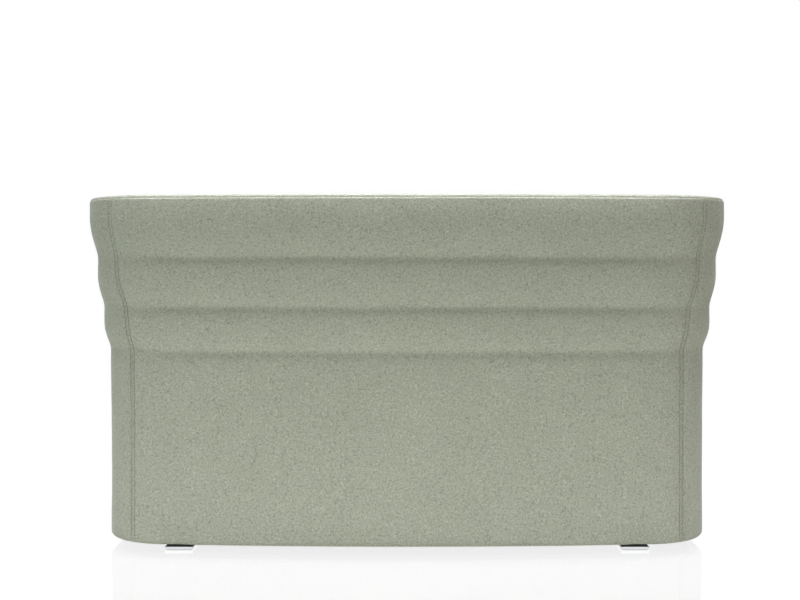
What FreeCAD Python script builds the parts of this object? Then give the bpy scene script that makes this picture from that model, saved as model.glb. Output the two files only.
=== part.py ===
import FreeCAD, Part
import math
import os

# A two-seat lounge sofa: a wrap-round padded wall whose outside steps out in three waves towards the
# top, a sprung seat between the arms, two loose seat cushions and four low feet.
# Millimetres. +X is the sitter's left-to-right as seen from the front, +Y points to the back, +Z is up.
# The origin is on the floor, at the middle of the footprint.

Vector = FreeCAD.Vector
ORIGIN = Vector(0, 0, 0)
UP = Vector(0, 0, 1)

# Overall sizes
OVERALL_WIDTH = 1386.0  # over the flared top edge
OVERALL_DEPTH = 700.0  # arm fronts to the flared top edge of the back
OVERALL_HEIGHT = 750.0
SEAT_HEIGHT = 440.0  # crown of the cushions

# Plan of the wall
CORNER_RADIUS = 150.0  # outside, below the waves
BACK_BOW_RADIUS = 5200.0  # the back is slightly bowed
SEAM_ANGLE = 54.5  # corner seam, from the arm towards the back, in degrees
WALL_THICKNESS = 80.0

# Waves on the outside, lowest first: how tall each is and how far it steps out
WAVE_1_HEIGHT = 94.0
WAVE_2_HEIGHT = 104.0
WAVE_3_HEIGHT = 123.0
WAVE_1_STEP = 14.0
WAVE_2_STEP = 13.0
WAVE_3_STEP = 17.0
WAVE_ROLL = 16.0  # height over which a wave rolls back in below the next crease
WAVE_DIP = 1.5  # how far it rolls back in
TOP_CROWN = 7.0  # swell of the top border above its seams
BOTTOM_RADIUS = 20.0  # cover rolling under the bottom edge
COVER_RETURN = 9.0  # cover stapled flat under the bottom, past the roll

# Layers
COVER = 2.5  # felted wool
LAYER_GAP = 0.7  # glue line between a curved layer and the next
SKIN = 4.0  # bending plywood outside the ribs
PANEL = 4.0  # hardboard inside the ribs
PLY = 18.0  # birch plywood of the ribs, rings and rails
RIB_WIDTH = 36.0
OUTER_FOAM = 14.0  # from the outside of the lower wall to the skin
CORE_LEAN = 41.0  # how far the frame leans out over the height of the waves
APRON_FOAM = 14.0
FACING_PAD = 8.0

# Frame
RING_LEDGE = 20.0  # rings standing in past the inside of the wall, to carry the straps
TOP_FOAM = 8.0  # between the top ring and the seam of the top border
BOTTOM_SPACE = 0.7  # between the cover's return and the bottom ring
SLOT_PLAY = 0.2  # between a rib and its slot in the seat ring
BACK_RIBS = 5
BACK_RIB_MARGIN = 98.0  # from the corner's centre to the last back rib
ARM_RIBS = 2
CORNER_RIB_ANGLE = 45.0
FRONT_RAIL_MARGIN = 10.0  # front bottom rail past the feet
STRETCHER_HEIGHT = 80.0

# Seat
CUSHION_THICKNESS = 150.0
CUSHION_CLEARANCE = 3.0  # to the wall
CUSHION_REST = 0.3  # above the grip strips
CUSHION_GAP = 4.0  # between the two cushions
CUSHION_CROWN = 12.0
CUSHION_EDGE = 16.0  # rounding of the cushion's long edges
CUSHION_WAIST = 5.0  # how far the sides are drawn in
CUSHION_CORNER = 12.0  # cut off the corners that don't meet the wall's corner
CORNER_SIDES = 5  # straight sides that follow the wall's corner
EDGE_TURNS = (0.0, 45.0, 90.0)  # where the rounding of a cushion's edge has a section, in degrees
CROWN_STEPS = 2
CROWN_FLAT = 60.0  # half width of the level middle of the crown
APRON_SETBACK = 5.0  # apron and cushion fronts, behind the arm fronts
APRON_EDGE = 12.0
APRON_PLAY = 1.0  # apron to the arm facing
STRAP_WIDTH = 60.0
STRAP_THICKNESS = 2.5
STRAP_COUNT = 10
STRAP_MARGIN = 40.0  # from the arm to the first strap
STRAP_PLAY = 1.0  # from the wall to the end of a strap
DECK_CLOTH = 2.0
GRIP_STRIP_WIDTH = 25.0
GRIP_STRIP_LENGTH = 380.0
GRIP_STRIP_THICKNESS = 1.2
GRIP_STRIP_PITCH = 320.0
DUST_CLOTH = 0.8

# Feet
FOOT_GAP = 18.0  # floor to the underside of the sofa
FOOT_SIZE = 60.0
FOOT_BLOCK_HEIGHT = 7.0
FOOT_EDGE = 1.0
FOOT_SIDE_INSET = 135.0  # outside of the lower arm to the foot
FRONT_FOOT_RECESS = 40.0  # front of the apron to the foot
REAR_FOOT_RECESS = 30.0  # outside of the lower back to the foot
GLIDE_THICKNESS = 1.0
GLIDE_MARGIN = 3.0
SPACER_SIZE = 50.0
BLOCK_LENGTH = 84.0
BLOCK_WIDTH = 46.0
BLOCK_HEIGHT = 30.0

# Plan, worked out
WAVE_STEPS = (WAVE_1_STEP, WAVE_2_STEP, WAVE_3_STEP)
WAVE_HEIGHTS = (WAVE_1_HEIGHT, WAVE_2_HEIGHT, WAVE_3_HEIGHT)
FLARE = sum(WAVE_STEPS)
BASE_HALF = OVERALL_WIDTH / 2 - FLARE  # the wall's outside below the waves, from the middle
FRONT_Y = -OVERALL_DEPTH / 2
BACK_Y = OVERALL_DEPTH / 2 - FLARE
BOW_CENTRE_Y = BACK_Y - BACK_BOW_RADIUS
CORNER_X = BASE_HALF - CORNER_RADIUS
CORNER_Y = BOW_CENTRE_Y + math.sqrt((BACK_BOW_RADIUS - CORNER_RADIUS) ** 2 - CORNER_X**2)
BOW_ANGLE = math.degrees(math.asin(CORNER_X / (BACK_BOW_RADIUS - CORNER_RADIUS)))
CORNER_SWEEP = 90.0 - BOW_ANGLE

# Heights, worked out
UNDERSIDE = FOOT_GAP
SEAM_Z = OVERALL_HEIGHT - TOP_CROWN  # seams of the top border
CREASE_Z = [SEAM_Z - sum(WAVE_HEIGHTS[i:]) for i in range(len(WAVE_HEIGHTS) + 1)]
WAVE_PEAK = [sum(WAVE_STEPS[:i]) for i in range(len(WAVE_STEPS) + 1)]
ROLL_Z = UNDERSIDE + BOTTOM_RADIUS  # middle of the bottom roll
BOTTOM_RING_Z = UNDERSIDE + COVER + BOTTOM_SPACE
CORE_LOW = BOTTOM_RING_Z + PLY / 4
CORE_TOP = SEAM_Z - TOP_FOAM
CUSHION_Z = SEAT_HEIGHT - CUSHION_THICKNESS
DECK_CLOTH_Z = CUSHION_Z - CUSHION_REST - GRIP_STRIP_THICKNESS - DECK_CLOTH
DECK_Z = DECK_CLOTH_Z - LAYER_GAP / 2 - STRAP_THICKNESS  # top of the seat ring, under the straps
SEAT_RING_Z = DECK_Z - PLY
INSET_FOAM = COVER + LAYER_GAP

# Layers of the wall's frame, as distances in from the outside of the skin
RIB_OUT = SKIN + LAYER_GAP
RIB_IN = RIB_OUT + RIB_WIDTH
PANEL_OUT = RIB_IN + LAYER_GAP
PANEL_IN = PANEL_OUT + PANEL
CORE_OUTSIDE = -OUTER_FOAM

# Fronts of the layers in the arms
WALL_FRONT = FRONT_Y + COVER + LAYER_GAP / 2
FORMER_FRONT = WALL_FRONT + FACING_PAD + LAYER_GAP / 2
FORMER_BACK = FORMER_FRONT + PLY
APRON_FRONT = FRONT_Y + APRON_SETBACK
BOARD_FRONT = APRON_FRONT + COVER + APRON_FOAM + 2 * LAYER_GAP
BOARD_BACK = BOARD_FRONT + PLY

# Places of the feet
FOOT_X = BASE_HALF - FOOT_SIDE_INSET - FOOT_SIZE / 2
FRONT_FOOT_Y = APRON_FRONT + FRONT_FOOT_RECESS + FOOT_SIZE / 2


# Profiles: x is the distance out from the lower wall's outside, z is the height

def at(u, z):
    return Vector(u, 0, z)


def line(start, end):
    return Part.LineSegment(at(*start), at(*end)).toShape()


def arc(start, through, end):
    return Part.Arc(at(*start), at(*through), at(*end)).toShape()


def face_of(edges):
    return Part.Face(Part.Wire(edges))


def polygon(*points):
    return face_of([line(p, q) for p, q in zip(points, points[1:] + points[:1])])


def band_between(low_z, high_z):
    reach = OVERALL_WIDTH
    return polygon((-reach, low_z), (reach, low_z), (reach, high_z), (-reach, high_z))


def wave_middle(apex, foot):
    """Middle of the arc that rises from foot and runs straight up at apex."""
    rise = apex[1] - foot[1]
    swing = apex[0] - foot[0]
    radius = (rise**2 + swing**2) / (2 * swing)
    half = math.asin(rise / radius) / 2
    return (apex[0] - radius * (1 - math.cos(half)), apex[1] - radius * math.sin(half))


def outer_edges(shift):
    """Outside of the wall from the bottom roll to the top seam, moved in by shift."""
    edges = [line((-shift, ROLL_Z), (-shift, CREASE_Z[0]))]
    foot = (-shift, CREASE_Z[0])
    for peak, crease_z in zip(WAVE_PEAK[1:], CREASE_Z[1:]):
        apex = (peak - shift, crease_z - WAVE_ROLL)
        crease = (peak - WAVE_DIP - shift, min(crease_z, SEAM_Z - shift))
        middle = wave_middle(apex, foot)
        if shift == 0:
            edges += [arc(foot, middle, apex), line(apex, crease)]
        else:
            edges += [line(foot, middle), line(middle, crease)]
        foot = crease
    return edges


def inner_edges(shift):
    """Inside of the wall from the top seam down to the underside, moved in by shift."""
    points = [(peak - WALL_THICKNESS + shift, z) for peak, z in zip(WAVE_PEAK, CREASE_Z)]
    points = [(points[0][0], UNDERSIDE + shift)] + points[:-1] + [(points[-1][0], SEAM_Z - shift)]
    return [line(start, end) for start, end in zip(points[::-1], points[-2::-1])]


def wall_face(shift):
    """Section of the padded wall, drawn in by shift on every side. Only the outside has its curves."""
    roll = BOTTOM_RADIUS - shift
    roll_start = (-BOTTOM_RADIUS, UNDERSIDE + shift)
    roll_middle = (roll * math.sqrt(0.5) - BOTTOM_RADIUS, ROLL_Z - roll * math.sqrt(0.5))
    roll_end = (-shift, ROLL_Z)
    outer_top = (WAVE_PEAK[-1] - WAVE_DIP - shift, SEAM_Z - shift)
    inner_top = (WAVE_PEAK[-1] - WALL_THICKNESS + shift, SEAM_Z - shift)
    if shift == 0:
        crown = ((outer_top[0] + inner_top[0]) / 2, OVERALL_HEIGHT)
        roll_edges = [arc(roll_start, roll_middle, roll_end)]
        top_edges = [arc(outer_top, crown, inner_top)]
    else:
        roll_edges = [line(roll_start, roll_middle), line(roll_middle, roll_end)]
        top_edges = [line(outer_top, inner_top)]
    bottom_edges = [line((shift - WALL_THICKNESS, UNDERSIDE + shift), roll_start)]
    return face_of(bottom_edges + roll_edges + outer_edges(shift) + top_edges + inner_edges(shift))


def core_u(depth, z):
    """The leaning line that lies depth in from the outside of the skin, at height z."""
    rise = max(0.0, z - CREASE_Z[0]) / (CORE_TOP - CREASE_Z[0])
    return CORE_OUTSIDE - depth + CORE_LEAN * rise


def core_line(depth, low_z, high_z):
    heights = [low_z, CREASE_Z[0], high_z] if low_z < CREASE_Z[0] < high_z else [low_z, high_z]
    return [(core_u(depth, z), z) for z in heights]


def core_band(near, far, low_z, high_z):
    """Flat-sided layer of the frame between two depths in from the skin's outside."""
    return polygon(*core_line(near, low_z, high_z), *reversed(core_line(far, low_z, high_z)))


def inside_of(depth, low_z, high_z):
    """Everything further in than the leaning line at depth."""
    reach = -OVERALL_WIDTH
    return polygon(*core_line(depth, low_z, high_z), (reach, high_z), (reach, low_z))


# Runs of a profile along the wall

def largest_solid(shape):
    return max(shape.Solids, key=lambda solid: solid.Volume)


def joined(*shapes):
    return largest_solid(shapes[0].fuse(list(shapes[1:])).removeSplitter())


def mirrored(shape):
    return shape.mirror(ORIGIN, Vector(1, 0, 0))


def moved(shape, x=0.0, y=0.0, z=0.0):
    copy = shape.copy()
    copy.translate(Vector(x, y, z))
    return copy


def along_arm(face, start_y=WALL_FRONT, end_y=CORNER_Y):
    return moved(face, BASE_HALF, start_y).extrude(Vector(0, end_y - start_y, 0))


def turned(face, radius, centre, start, end):
    """Face swung about an upright axis at centre, from one angle to another, in degrees from +X."""
    copy = moved(face, radius)
    copy.rotate(ORIGIN, UP, start)
    return moved(copy.revolve(ORIGIN, UP, end - start), *centre)


def around_corner(face, start, end):
    return turned(face, CORNER_RADIUS, (CORNER_X, CORNER_Y), start, end)


def across_back(face):
    return turned(face, BACK_BOW_RADIUS, (0, BOW_CENTRE_Y), 90 - BOW_ANGLE, 90 + BOW_ANGLE)


def right_run(face):
    return joined(along_arm(face), around_corner(face, 0, SEAM_ANGLE))


def back_run(face):
    corner = around_corner(face, SEAM_ANGLE, CORNER_SWEEP)
    return joined(corner, across_back(face), mirrored(corner))


def whole_run(face, start_y=WALL_FRONT):
    side = joined(along_arm(face, start_y), around_corner(face, 0, CORNER_SWEEP))
    return joined(side, across_back(face), mirrored(side))


def three_runs(face, prefix, suffix):
    right = right_run(face)
    return {
        f"{prefix}_left_{suffix}": mirrored(right),
        f"{prefix}_right_{suffix}": right,
        f"{prefix}_back_{suffix}": back_run(face),
    }


def back_y(x, inwards):
    """Where the back and its corners lie at x, that far in from their outside."""
    bow = BACK_BOW_RADIUS - inwards
    if abs(x) < bow * math.sin(math.radians(BOW_ANGLE)):
        return BOW_CENTRE_Y + math.sqrt(bow**2 - x**2)
    return CORNER_Y + math.sqrt((CORNER_RADIUS - inwards) ** 2 - (abs(x) - CORNER_X) ** 2)


def box(low, high):
    return Part.makeBox(*(b - a for a, b in zip(low, high)), Vector(*low))


# Covers, foam and boards of the wall

def wall_covers():
    """Felt of the wall. The top border has its wadding, so it is flat underneath."""
    skin = wall_face(0).cut(wall_face(COVER))
    divide = CORE_OUTSIDE + BOTTOM_RADIUS + COVER_RETURN
    outer_side = band_between(0, SEAM_Z - COVER).cut(inside_of(divide, 0, SEAM_Z))
    inner_side = inside_of(divide, DECK_Z + LAYER_GAP, SEAM_Z - COVER)
    parts = three_runs(skin.common(outer_side), "outer", "cover")
    parts.update(three_runs(skin.common(inner_side), "inner", "cover"))
    parts["top_border_cover"] = whole_run(skin.common(band_between(SEAM_Z - COVER, OVERALL_HEIGHT + COVER)))
    return parts


def facing_covers():
    facing = moved(wall_face(0), BASE_HALF, FRONT_Y).extrude(Vector(0, COVER, 0))
    return {"right_facing_cover": facing, "left_facing_cover": mirrored(facing)}


def wall_foam():
    padded = wall_face(INSET_FOAM)
    inside = inside_of(-LAYER_GAP, 0, CORE_TOP + LAYER_GAP)
    outer = padded.cut(inside).common(band_between(CORE_LOW, OVERALL_HEIGHT))
    inner = padded.common(inside_of(PANEL_IN + LAYER_GAP, DECK_Z + LAYER_GAP, CORE_TOP))
    return {**three_runs(outer, "outer", "foam"), **three_runs(inner, "inner", "foam")}


def wall_boards():
    skin = core_band(0, SKIN, CORE_LOW, CORE_TOP)
    panel = core_band(PANEL_OUT, PANEL_IN, DECK_Z + LAYER_GAP, CORE_TOP)
    return {"outer_skin": whole_run(skin, FORMER_FRONT), "inner_panel": whole_run(panel, FORMER_FRONT)}


def facing_pads():
    pad = moved(core_band(0, PANEL_IN, CORE_LOW, CORE_TOP), BASE_HALF, WALL_FRONT)
    solid = pad.extrude(Vector(0, FACING_PAD, 0))
    return {"facing_pads": Part.makeCompound([solid, mirrored(solid)])}


# Plywood frame

def rib_face():
    """Rib with a slot, open to the inside, that the seat ring's ledge crosses."""
    rib = core_band(RIB_OUT, RIB_IN, BOTTOM_RING_Z + PLY, CORE_TOP - PLY)
    lap = (RIB_OUT + RIB_IN) / 2
    return rib.cut(inside_of(lap, SEAT_RING_Z - SLOT_PLAY, DECK_Z + SLOT_PLAY))


def rib_places():
    """Name of each rib and how to set a piece, drawn at the wall's profile, in that rib's place."""
    def in_back(turn):
        def place(piece):
            copy = moved(piece, BACK_BOW_RADIUS)
            copy.rotate(ORIGIN, UP, 90 - turn)
            return moved(copy, 0, BOW_CENTRE_Y)
        return place

    def in_corner(piece):
        copy = moved(piece, CORNER_RADIUS)
        copy.rotate(ORIGIN, UP, CORNER_RIB_ANGLE)
        return moved(copy, CORNER_X, CORNER_Y)

    def in_arm(y):
        return lambda piece: moved(piece, BASE_HALF, y)

    places = {}
    for i in range(BACK_RIBS):
        offset = (CORNER_X - BACK_RIB_MARGIN) * (2 * i / (BACK_RIBS - 1) - 1)
        places[f"back_rib_{i + 1}"] = in_back(math.degrees(math.asin(offset / BACK_BOW_RADIUS)))
    right = {"corner_rib": in_corner}
    for i in range(ARM_RIBS):
        right[f"arm_rib_{i + 1}"] = in_arm(CORNER_Y - (i + 1) * (CORNER_Y - FORMER_BACK) / (ARM_RIBS + 1))
    for name, place in right.items():
        places[f"right_{name}"] = place
        places[f"left_{name}"] = lambda piece, place=place: mirrored(place(piece))
    return places


def across_rib(face, thickness):
    return moved(face, 0, -thickness / 2).extrude(Vector(0, thickness, 0))


def ribs():
    rib = across_rib(rib_face(), PLY)
    return {name: place(rib) for name, place in rib_places().items()}


def ring_face(inner_u, outer_u, low_z):
    return polygon((inner_u, low_z), (outer_u, low_z), (outer_u, low_z + PLY), (inner_u, low_z + PLY))


def rings():
    rib_outside = CORE_OUTSIDE - RIB_OUT
    ledge = -WALL_THICKNESS - RING_LEDGE
    bottom = whole_run(ring_face(ledge, -BOTTOM_RADIUS, BOTTOM_RING_Z), BOARD_BACK)
    seat = whole_run(ring_face(ledge, rib_outside, SEAT_RING_Z), BOARD_BACK)
    lap = CORE_OUTSIDE - (RIB_OUT + RIB_IN) / 2
    slot = ring_face(lap, 0, SEAT_RING_Z)
    slots = [place(across_rib(slot, PLY + 2 * SLOT_PLAY)) for place in rib_places().values()]
    top_z = CORE_TOP - PLY
    top = whole_run(ring_face(core_u(RIB_IN, CORE_TOP), core_u(RIB_OUT, top_z), top_z), FORMER_BACK)
    return {"bottom_ring": bottom, "seat_ring": largest_solid(seat.cut(slots)), "top_ring": top}


def formers():
    former = core_band(RIB_OUT, RIB_IN, CORE_LOW, CORE_TOP)
    solid = moved(former, BASE_HALF, FORMER_FRONT).extrude(Vector(0, PLY, 0))
    return {"right_front_former": solid, "left_front_former": mirrored(solid)}


def rails():
    reach = BASE_HALF + CORE_OUTSIDE - RIB_IN
    board_z = BOTTOM_RING_Z + PLY
    rail_back = FRONT_FOOT_Y + FOOT_SIZE / 2 + FRONT_RAIL_MARGIN
    ring_inside = BASE_HALF - WALL_THICKNESS - RING_LEDGE
    rail = box((-reach, BOARD_FRONT, BOTTOM_RING_Z), (reach, BOARD_BACK, board_z))
    tongue = box((-ring_inside, BOARD_FRONT, BOTTOM_RING_Z), (ring_inside, rail_back, board_z))
    rib_inside = back_y(0, -CORE_OUTSIDE + RIB_IN)
    stretcher_top = board_z + STRETCHER_HEIGHT
    return {
        "front_board": box((-reach, BOARD_FRONT, board_z), (reach, BOARD_BACK, DECK_Z)),
        "front_bottom_rail": joined(rail, tongue),
        "centre_stretcher": box((-PLY / 2, BOARD_BACK, board_z), (PLY / 2, rib_inside, stretcher_top)),
    }


# Front apron, drawn with y across and z up, and run from arm to arm

def apron_face(shift, back_y_edge):
    """Apron section: front face, rolled bottom and rounded top edge, drawn in by shift."""
    front = APRON_FRONT + shift
    low = UNDERSIDE + shift
    top = DECK_Z + STRAP_THICKNESS + COVER + LAYER_GAP / 2 - shift
    roll = BOTTOM_RADIUS - shift
    edge = APRON_EDGE - shift
    diagonal = 1 - math.sqrt(0.5)
    edges = [
        line((back_y_edge, low), (front + roll, low)),
        arc((front + roll, low), (front + roll * diagonal, low + roll * diagonal), (front, low + roll)),
        line((front, low + roll), (front, top - edge)),
        arc((front, top - edge), (front + edge * diagonal, top - edge * diagonal), (front + edge, top)),
        line((front + edge, top), (back_y_edge, top)),
        line((back_y_edge, top), (back_y_edge, low)),
    ]
    return face_of(edges)


def run_across(face):
    """Section with y drawn along x, run from arm to arm."""
    half = BASE_HALF - WALL_THICKNESS - APRON_PLAY
    solid = face.extrude(Vector(0, 2 * half, 0))
    solid.rotate(ORIGIN, UP, 90)
    return moved(solid, half)


def apron():
    wrap = apron_face(0, BOARD_BACK).cut(apron_face(COVER, BOARD_BACK + PLY))
    foam_back = BOARD_FRONT - LAYER_GAP
    foam = apron_face(INSET_FOAM, foam_back).common(band_between(CORE_LOW, DECK_Z))
    return {"front_apron_cover": run_across(wrap), "front_apron_foam": run_across(foam)}


# Seat deck and cushions

def in_plan(x, y):
    return Vector(x, y, 0)


def straight(start, end):
    return Part.LineSegment(in_plan(*start), in_plan(*end)).toShape()


def rounded(start, middle, end):
    return Part.Arc(in_plan(*start), in_plan(*middle), in_plan(*end)).toShape()


def corner_points(inset, count=3):
    """Points along the wall's right corner in plan, from arm to back, at that inset."""
    turn = CORNER_RADIUS - inset
    angles = [math.radians(CORNER_SWEEP * i / (count - 1)) for i in range(count)]
    return [(CORNER_X + turn * math.cos(angle), CORNER_Y + turn * math.sin(angle)) for angle in angles]


def plan_face(inset, front_y):
    """Everything between the arms and the back, at that inset, behind front_y."""
    arm, corner, back = corner_points(inset)
    left_arm, left_corner, left_back = [(-x, y) for x, y in (arm, corner, back)]
    right_front = (arm[0], front_y)
    left_front = (-arm[0], front_y)
    return face_of([
        straight(left_front, right_front),
        straight(right_front, arm),
        rounded(arm, corner, back),
        rounded(back, (0, back_y(0, inset)), left_back),
        rounded(left_back, left_corner, left_arm),
        straight(left_arm, left_front),
    ])


def cushion_outline():
    """Plan of the right cushion: it follows the wall's corner, and its other corners are cut off."""
    inset = WALL_THICKNESS + CUSHION_CLEARANCE
    corner = corner_points(inset, CORNER_SIDES + 1)
    left = CUSHION_GAP / 2
    right = corner[0][0]
    back = corner[-1][1]
    cut = CUSHION_CORNER
    points = corner + [
        (left + cut, back), (left, back - cut), (left, APRON_FRONT + cut), (left + cut, APRON_FRONT),
        (right - cut, APRON_FRONT), (right, APRON_FRONT + cut),
    ]
    return points


def cushion_sections(low, high, half):
    """Height of each plan section and how far it is drawn in, from the underside to the crown."""
    shoulder = high - CUSHION_CROWN
    turns = [math.radians(angle) for angle in EDGE_TURNS]
    edge = [(CUSHION_EDGE * (1 - math.cos(turn)), CUSHION_EDGE * (1 - math.sin(turn))) for turn in turns]
    sections = [(low + rise, draw) for rise, draw in edge]
    sections.append(((low + shoulder) / 2, CUSHION_WAIST))
    sections += [(shoulder - rise, draw) for rise, draw in reversed(edge)]
    rim = edge[0][1]
    for step in range(1, CROWN_STEPS + 1):
        share = step / CROWN_STEPS
        height = shoulder + CUSHION_CROWN * (1 - (1 - share) ** 2)
        sections.append((height, rim + share * (half - CROWN_FLAT - rim)))
    return sections


def flat_face(*corners):
    return Part.Face(Part.makePolygon([*corners, corners[0]]))


def cushion_form(inset):
    """Crowned cushion with rounded long edges and drawn-in sides, drawn in by inset all round."""
    points = cushion_outline()
    spans = [(min(values), max(values)) for values in zip(*points)]
    half = min(high - low for low, high in spans) / 2
    middle = in_plan(*[(low + high) / 2 for low, high in spans])
    rings = []
    for z, draw in cushion_sections(CUSHION_Z + inset, CUSHION_Z + CUSHION_THICKNESS - inset, half):
        scale = 1 - (inset + draw) / half
        rings.append([middle + (in_plan(x, y) - middle) * scale + Vector(0, 0, z) for x, y in points])
    faces = [flat_face(*rings[0]), flat_face(*rings[-1])]
    for low, high in zip(rings, rings[1:]):
        faces += [flat_face(low[i - 1], low[i], high[i], high[i - 1]) for i in range(len(points))]
    shell = Part.makeShell(faces)
    shell.sewShape()
    return Part.makeSolid(shell)


def cushions():
    cover = largest_solid(cushion_form(0).cut(cushion_form(COVER)))
    core = cushion_form(INSET_FOAM)
    return {
        "right_cushion_cover": cover, "left_cushion_cover": mirrored(cover),
        "right_cushion_core": core, "left_cushion_core": mirrored(core),
    }


def seat_straps():
    """Elastic straps from the front board to the ledge of the seat ring."""
    outermost = BASE_HALF - WALL_THICKNESS - STRAP_MARGIN - STRAP_WIDTH / 2
    straps = []
    for i in range(STRAP_COUNT):
        middle = outermost * (2 * i / (STRAP_COUNT - 1) - 1)
        left = middle - STRAP_WIDTH / 2
        right = middle + STRAP_WIDTH / 2
        end_y = back_y(max(-left, right), WALL_THICKNESS + STRAP_PLAY)
        straps.append(box((left, BOARD_FRONT, DECK_Z), (right, end_y, DECK_Z + STRAP_THICKNESS)))
    return Part.makeCompound(straps)


def deck_grip_strips():
    """Hook strips on the deck that hold the felt undersides of the cushions."""
    low_z = DECK_CLOTH_Z + DECK_CLOTH
    seat_x = (BASE_HALF - WALL_THICKNESS) / 2
    seat_y = (BOARD_BACK + back_y(0, WALL_THICKNESS)) / 2
    strip = box((-GRIP_STRIP_LENGTH / 2, -GRIP_STRIP_WIDTH / 2, low_z),
                (GRIP_STRIP_LENGTH / 2, GRIP_STRIP_WIDTH / 2, low_z + GRIP_STRIP_THICKNESS))
    rows = (seat_y - GRIP_STRIP_PITCH / 2, seat_y + GRIP_STRIP_PITCH / 2)
    return Part.makeCompound([moved(strip, x, y) for x in (-seat_x, seat_x) for y in rows])


def deck():
    cloth = moved(plan_face(WALL_THICKNESS + CUSHION_CLEARANCE, BOARD_BACK + LAYER_GAP), 0, 0, DECK_CLOTH_Z)
    return {
        "seat_straps": seat_straps(),
        "deck_cloth": cloth.extrude(Vector(0, 0, DECK_CLOTH)),
        "deck_grip_strips": deck_grip_strips(),
    }


# Feet, their fixings and the cloth under the sofa

def foot_places():
    rear_y = back_y(FOOT_X, REAR_FOOT_RECESS + FOOT_SIZE / 2)
    return {
        "rear_left": (-FOOT_X, rear_y), "rear_right": (FOOT_X, rear_y),
        "front_left": (-FOOT_X, FRONT_FOOT_Y), "front_right": (FOOT_X, FRONT_FOOT_Y),
    }


def square_plate(size, low_z, high_z):
    return box((-size / 2, -size / 2, low_z), (size / 2, size / 2, high_z))


def feet():
    foot_top = GLIDE_THICKNESS + FOOT_BLOCK_HEIGHT
    block_z = BOTTOM_RING_Z + PLY
    body = square_plate(FOOT_SIZE, GLIDE_THICKNESS, foot_top)
    body = body.makeChamfer(FOOT_EDGE, body.Edges)
    half_length = BLOCK_LENGTH / 2
    half_width = BLOCK_WIDTH / 2
    block = box((-half_length, -half_width, block_z), (half_length, half_width, block_z + BLOCK_HEIGHT))
    under_sofa = {
        "foot_spacers": square_plate(SPACER_SIZE, foot_top, BOTTOM_RING_Z),
        "foot_glides": square_plate(FOOT_SIZE - 2 * GLIDE_MARGIN, 0, GLIDE_THICKNESS),
        "foot_blocks": block,
    }
    places = foot_places()
    parts = {f"{name}_foot": moved(body, x, y) for name, (x, y) in places.items()}
    for name, piece in under_sofa.items():
        parts[name] = Part.makeCompound([moved(piece, x, y) for x, y in places.values()])
    return parts


def dust_cover():
    inset = BOTTOM_RADIUS + COVER_RETURN + LAYER_GAP
    face = moved(plan_face(inset, BOARD_BACK + LAYER_GAP), 0, 0, BOTTOM_RING_Z - DUST_CLOTH)
    around_spacer = square_plate(SPACER_SIZE + 2 * LAYER_GAP, 0, BOTTOM_RING_Z)
    cuts = [moved(around_spacer, x, y) for x, y in foot_places().values()]
    return {"dust_cover": largest_solid(face.extrude(Vector(0, 0, DUST_CLOTH)).cut(cuts))}


def all_parts():
    parts = {}
    wall = (wall_covers, facing_covers, wall_foam, wall_boards, facing_pads)
    frame = (ribs, rings, formers, rails)
    for group in wall + frame + (apron, cushions, deck, feet, dust_cover):
        parts.update(group())
    return parts


os.makedirs("parts", exist_ok=True)
for node, shape in all_parts().items():
    shape.exportStep(f"parts/{node}.step")
    print(node, len(shape.Solids), round(shape.Volume / 1000, 2), shape.isValid())
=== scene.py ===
"""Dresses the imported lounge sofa: felt covers, seat cushions, deck, underside, timber, feet and studio."""

import math

import bmesh
import bpy
import numpy as np
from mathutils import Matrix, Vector, noise
from mathutils.bvhtree import BVHTree


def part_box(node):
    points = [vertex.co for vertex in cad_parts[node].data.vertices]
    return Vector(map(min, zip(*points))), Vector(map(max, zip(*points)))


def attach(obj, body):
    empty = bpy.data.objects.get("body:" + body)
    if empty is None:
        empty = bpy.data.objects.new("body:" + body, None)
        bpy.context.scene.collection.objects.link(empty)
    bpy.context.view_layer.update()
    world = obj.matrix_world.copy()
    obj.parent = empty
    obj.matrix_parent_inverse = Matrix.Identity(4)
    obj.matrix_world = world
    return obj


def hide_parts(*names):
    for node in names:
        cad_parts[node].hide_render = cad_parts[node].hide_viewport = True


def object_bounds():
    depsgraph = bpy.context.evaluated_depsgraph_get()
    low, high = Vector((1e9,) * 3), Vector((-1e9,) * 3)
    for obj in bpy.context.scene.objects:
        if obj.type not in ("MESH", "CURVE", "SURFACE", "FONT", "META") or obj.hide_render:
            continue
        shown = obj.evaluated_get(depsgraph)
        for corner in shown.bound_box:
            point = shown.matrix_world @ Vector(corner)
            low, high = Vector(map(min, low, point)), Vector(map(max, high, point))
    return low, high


bl_info = {
    "name": "Lounge Sofa Upholstery",
    "version": (1, 0, 0),
    "blender": (4, 5, 0),
    "location": "View3D > Sidebar > Sofa",
    "description": "Covers, cushions, finishes and studio for the two-seat lounge sofa",
    "category": "Object",
}

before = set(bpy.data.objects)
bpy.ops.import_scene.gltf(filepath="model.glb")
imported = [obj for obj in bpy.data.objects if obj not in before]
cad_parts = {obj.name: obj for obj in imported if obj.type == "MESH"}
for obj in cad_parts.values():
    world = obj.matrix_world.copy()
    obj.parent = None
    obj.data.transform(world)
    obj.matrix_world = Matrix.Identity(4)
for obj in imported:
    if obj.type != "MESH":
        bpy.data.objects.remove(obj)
CAD_LOW, CAD_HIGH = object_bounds()
SOFA = "sofa"
SIDES = {"left": -1.0, "right": 1.0}
QUARTER = math.pi / 2


def linear(hex_colour):
    """Linear red, green and blue of an sRGB hex colour."""
    values = [int(hex_colour[i:i + 2], 16) / 255 for i in (1, 3, 5)]
    return [v / 12.92 if v <= 0.04045 else ((v + 0.055) / 1.055) ** 2.4 for v in values]


# Sizes and colours that a user would change

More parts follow.
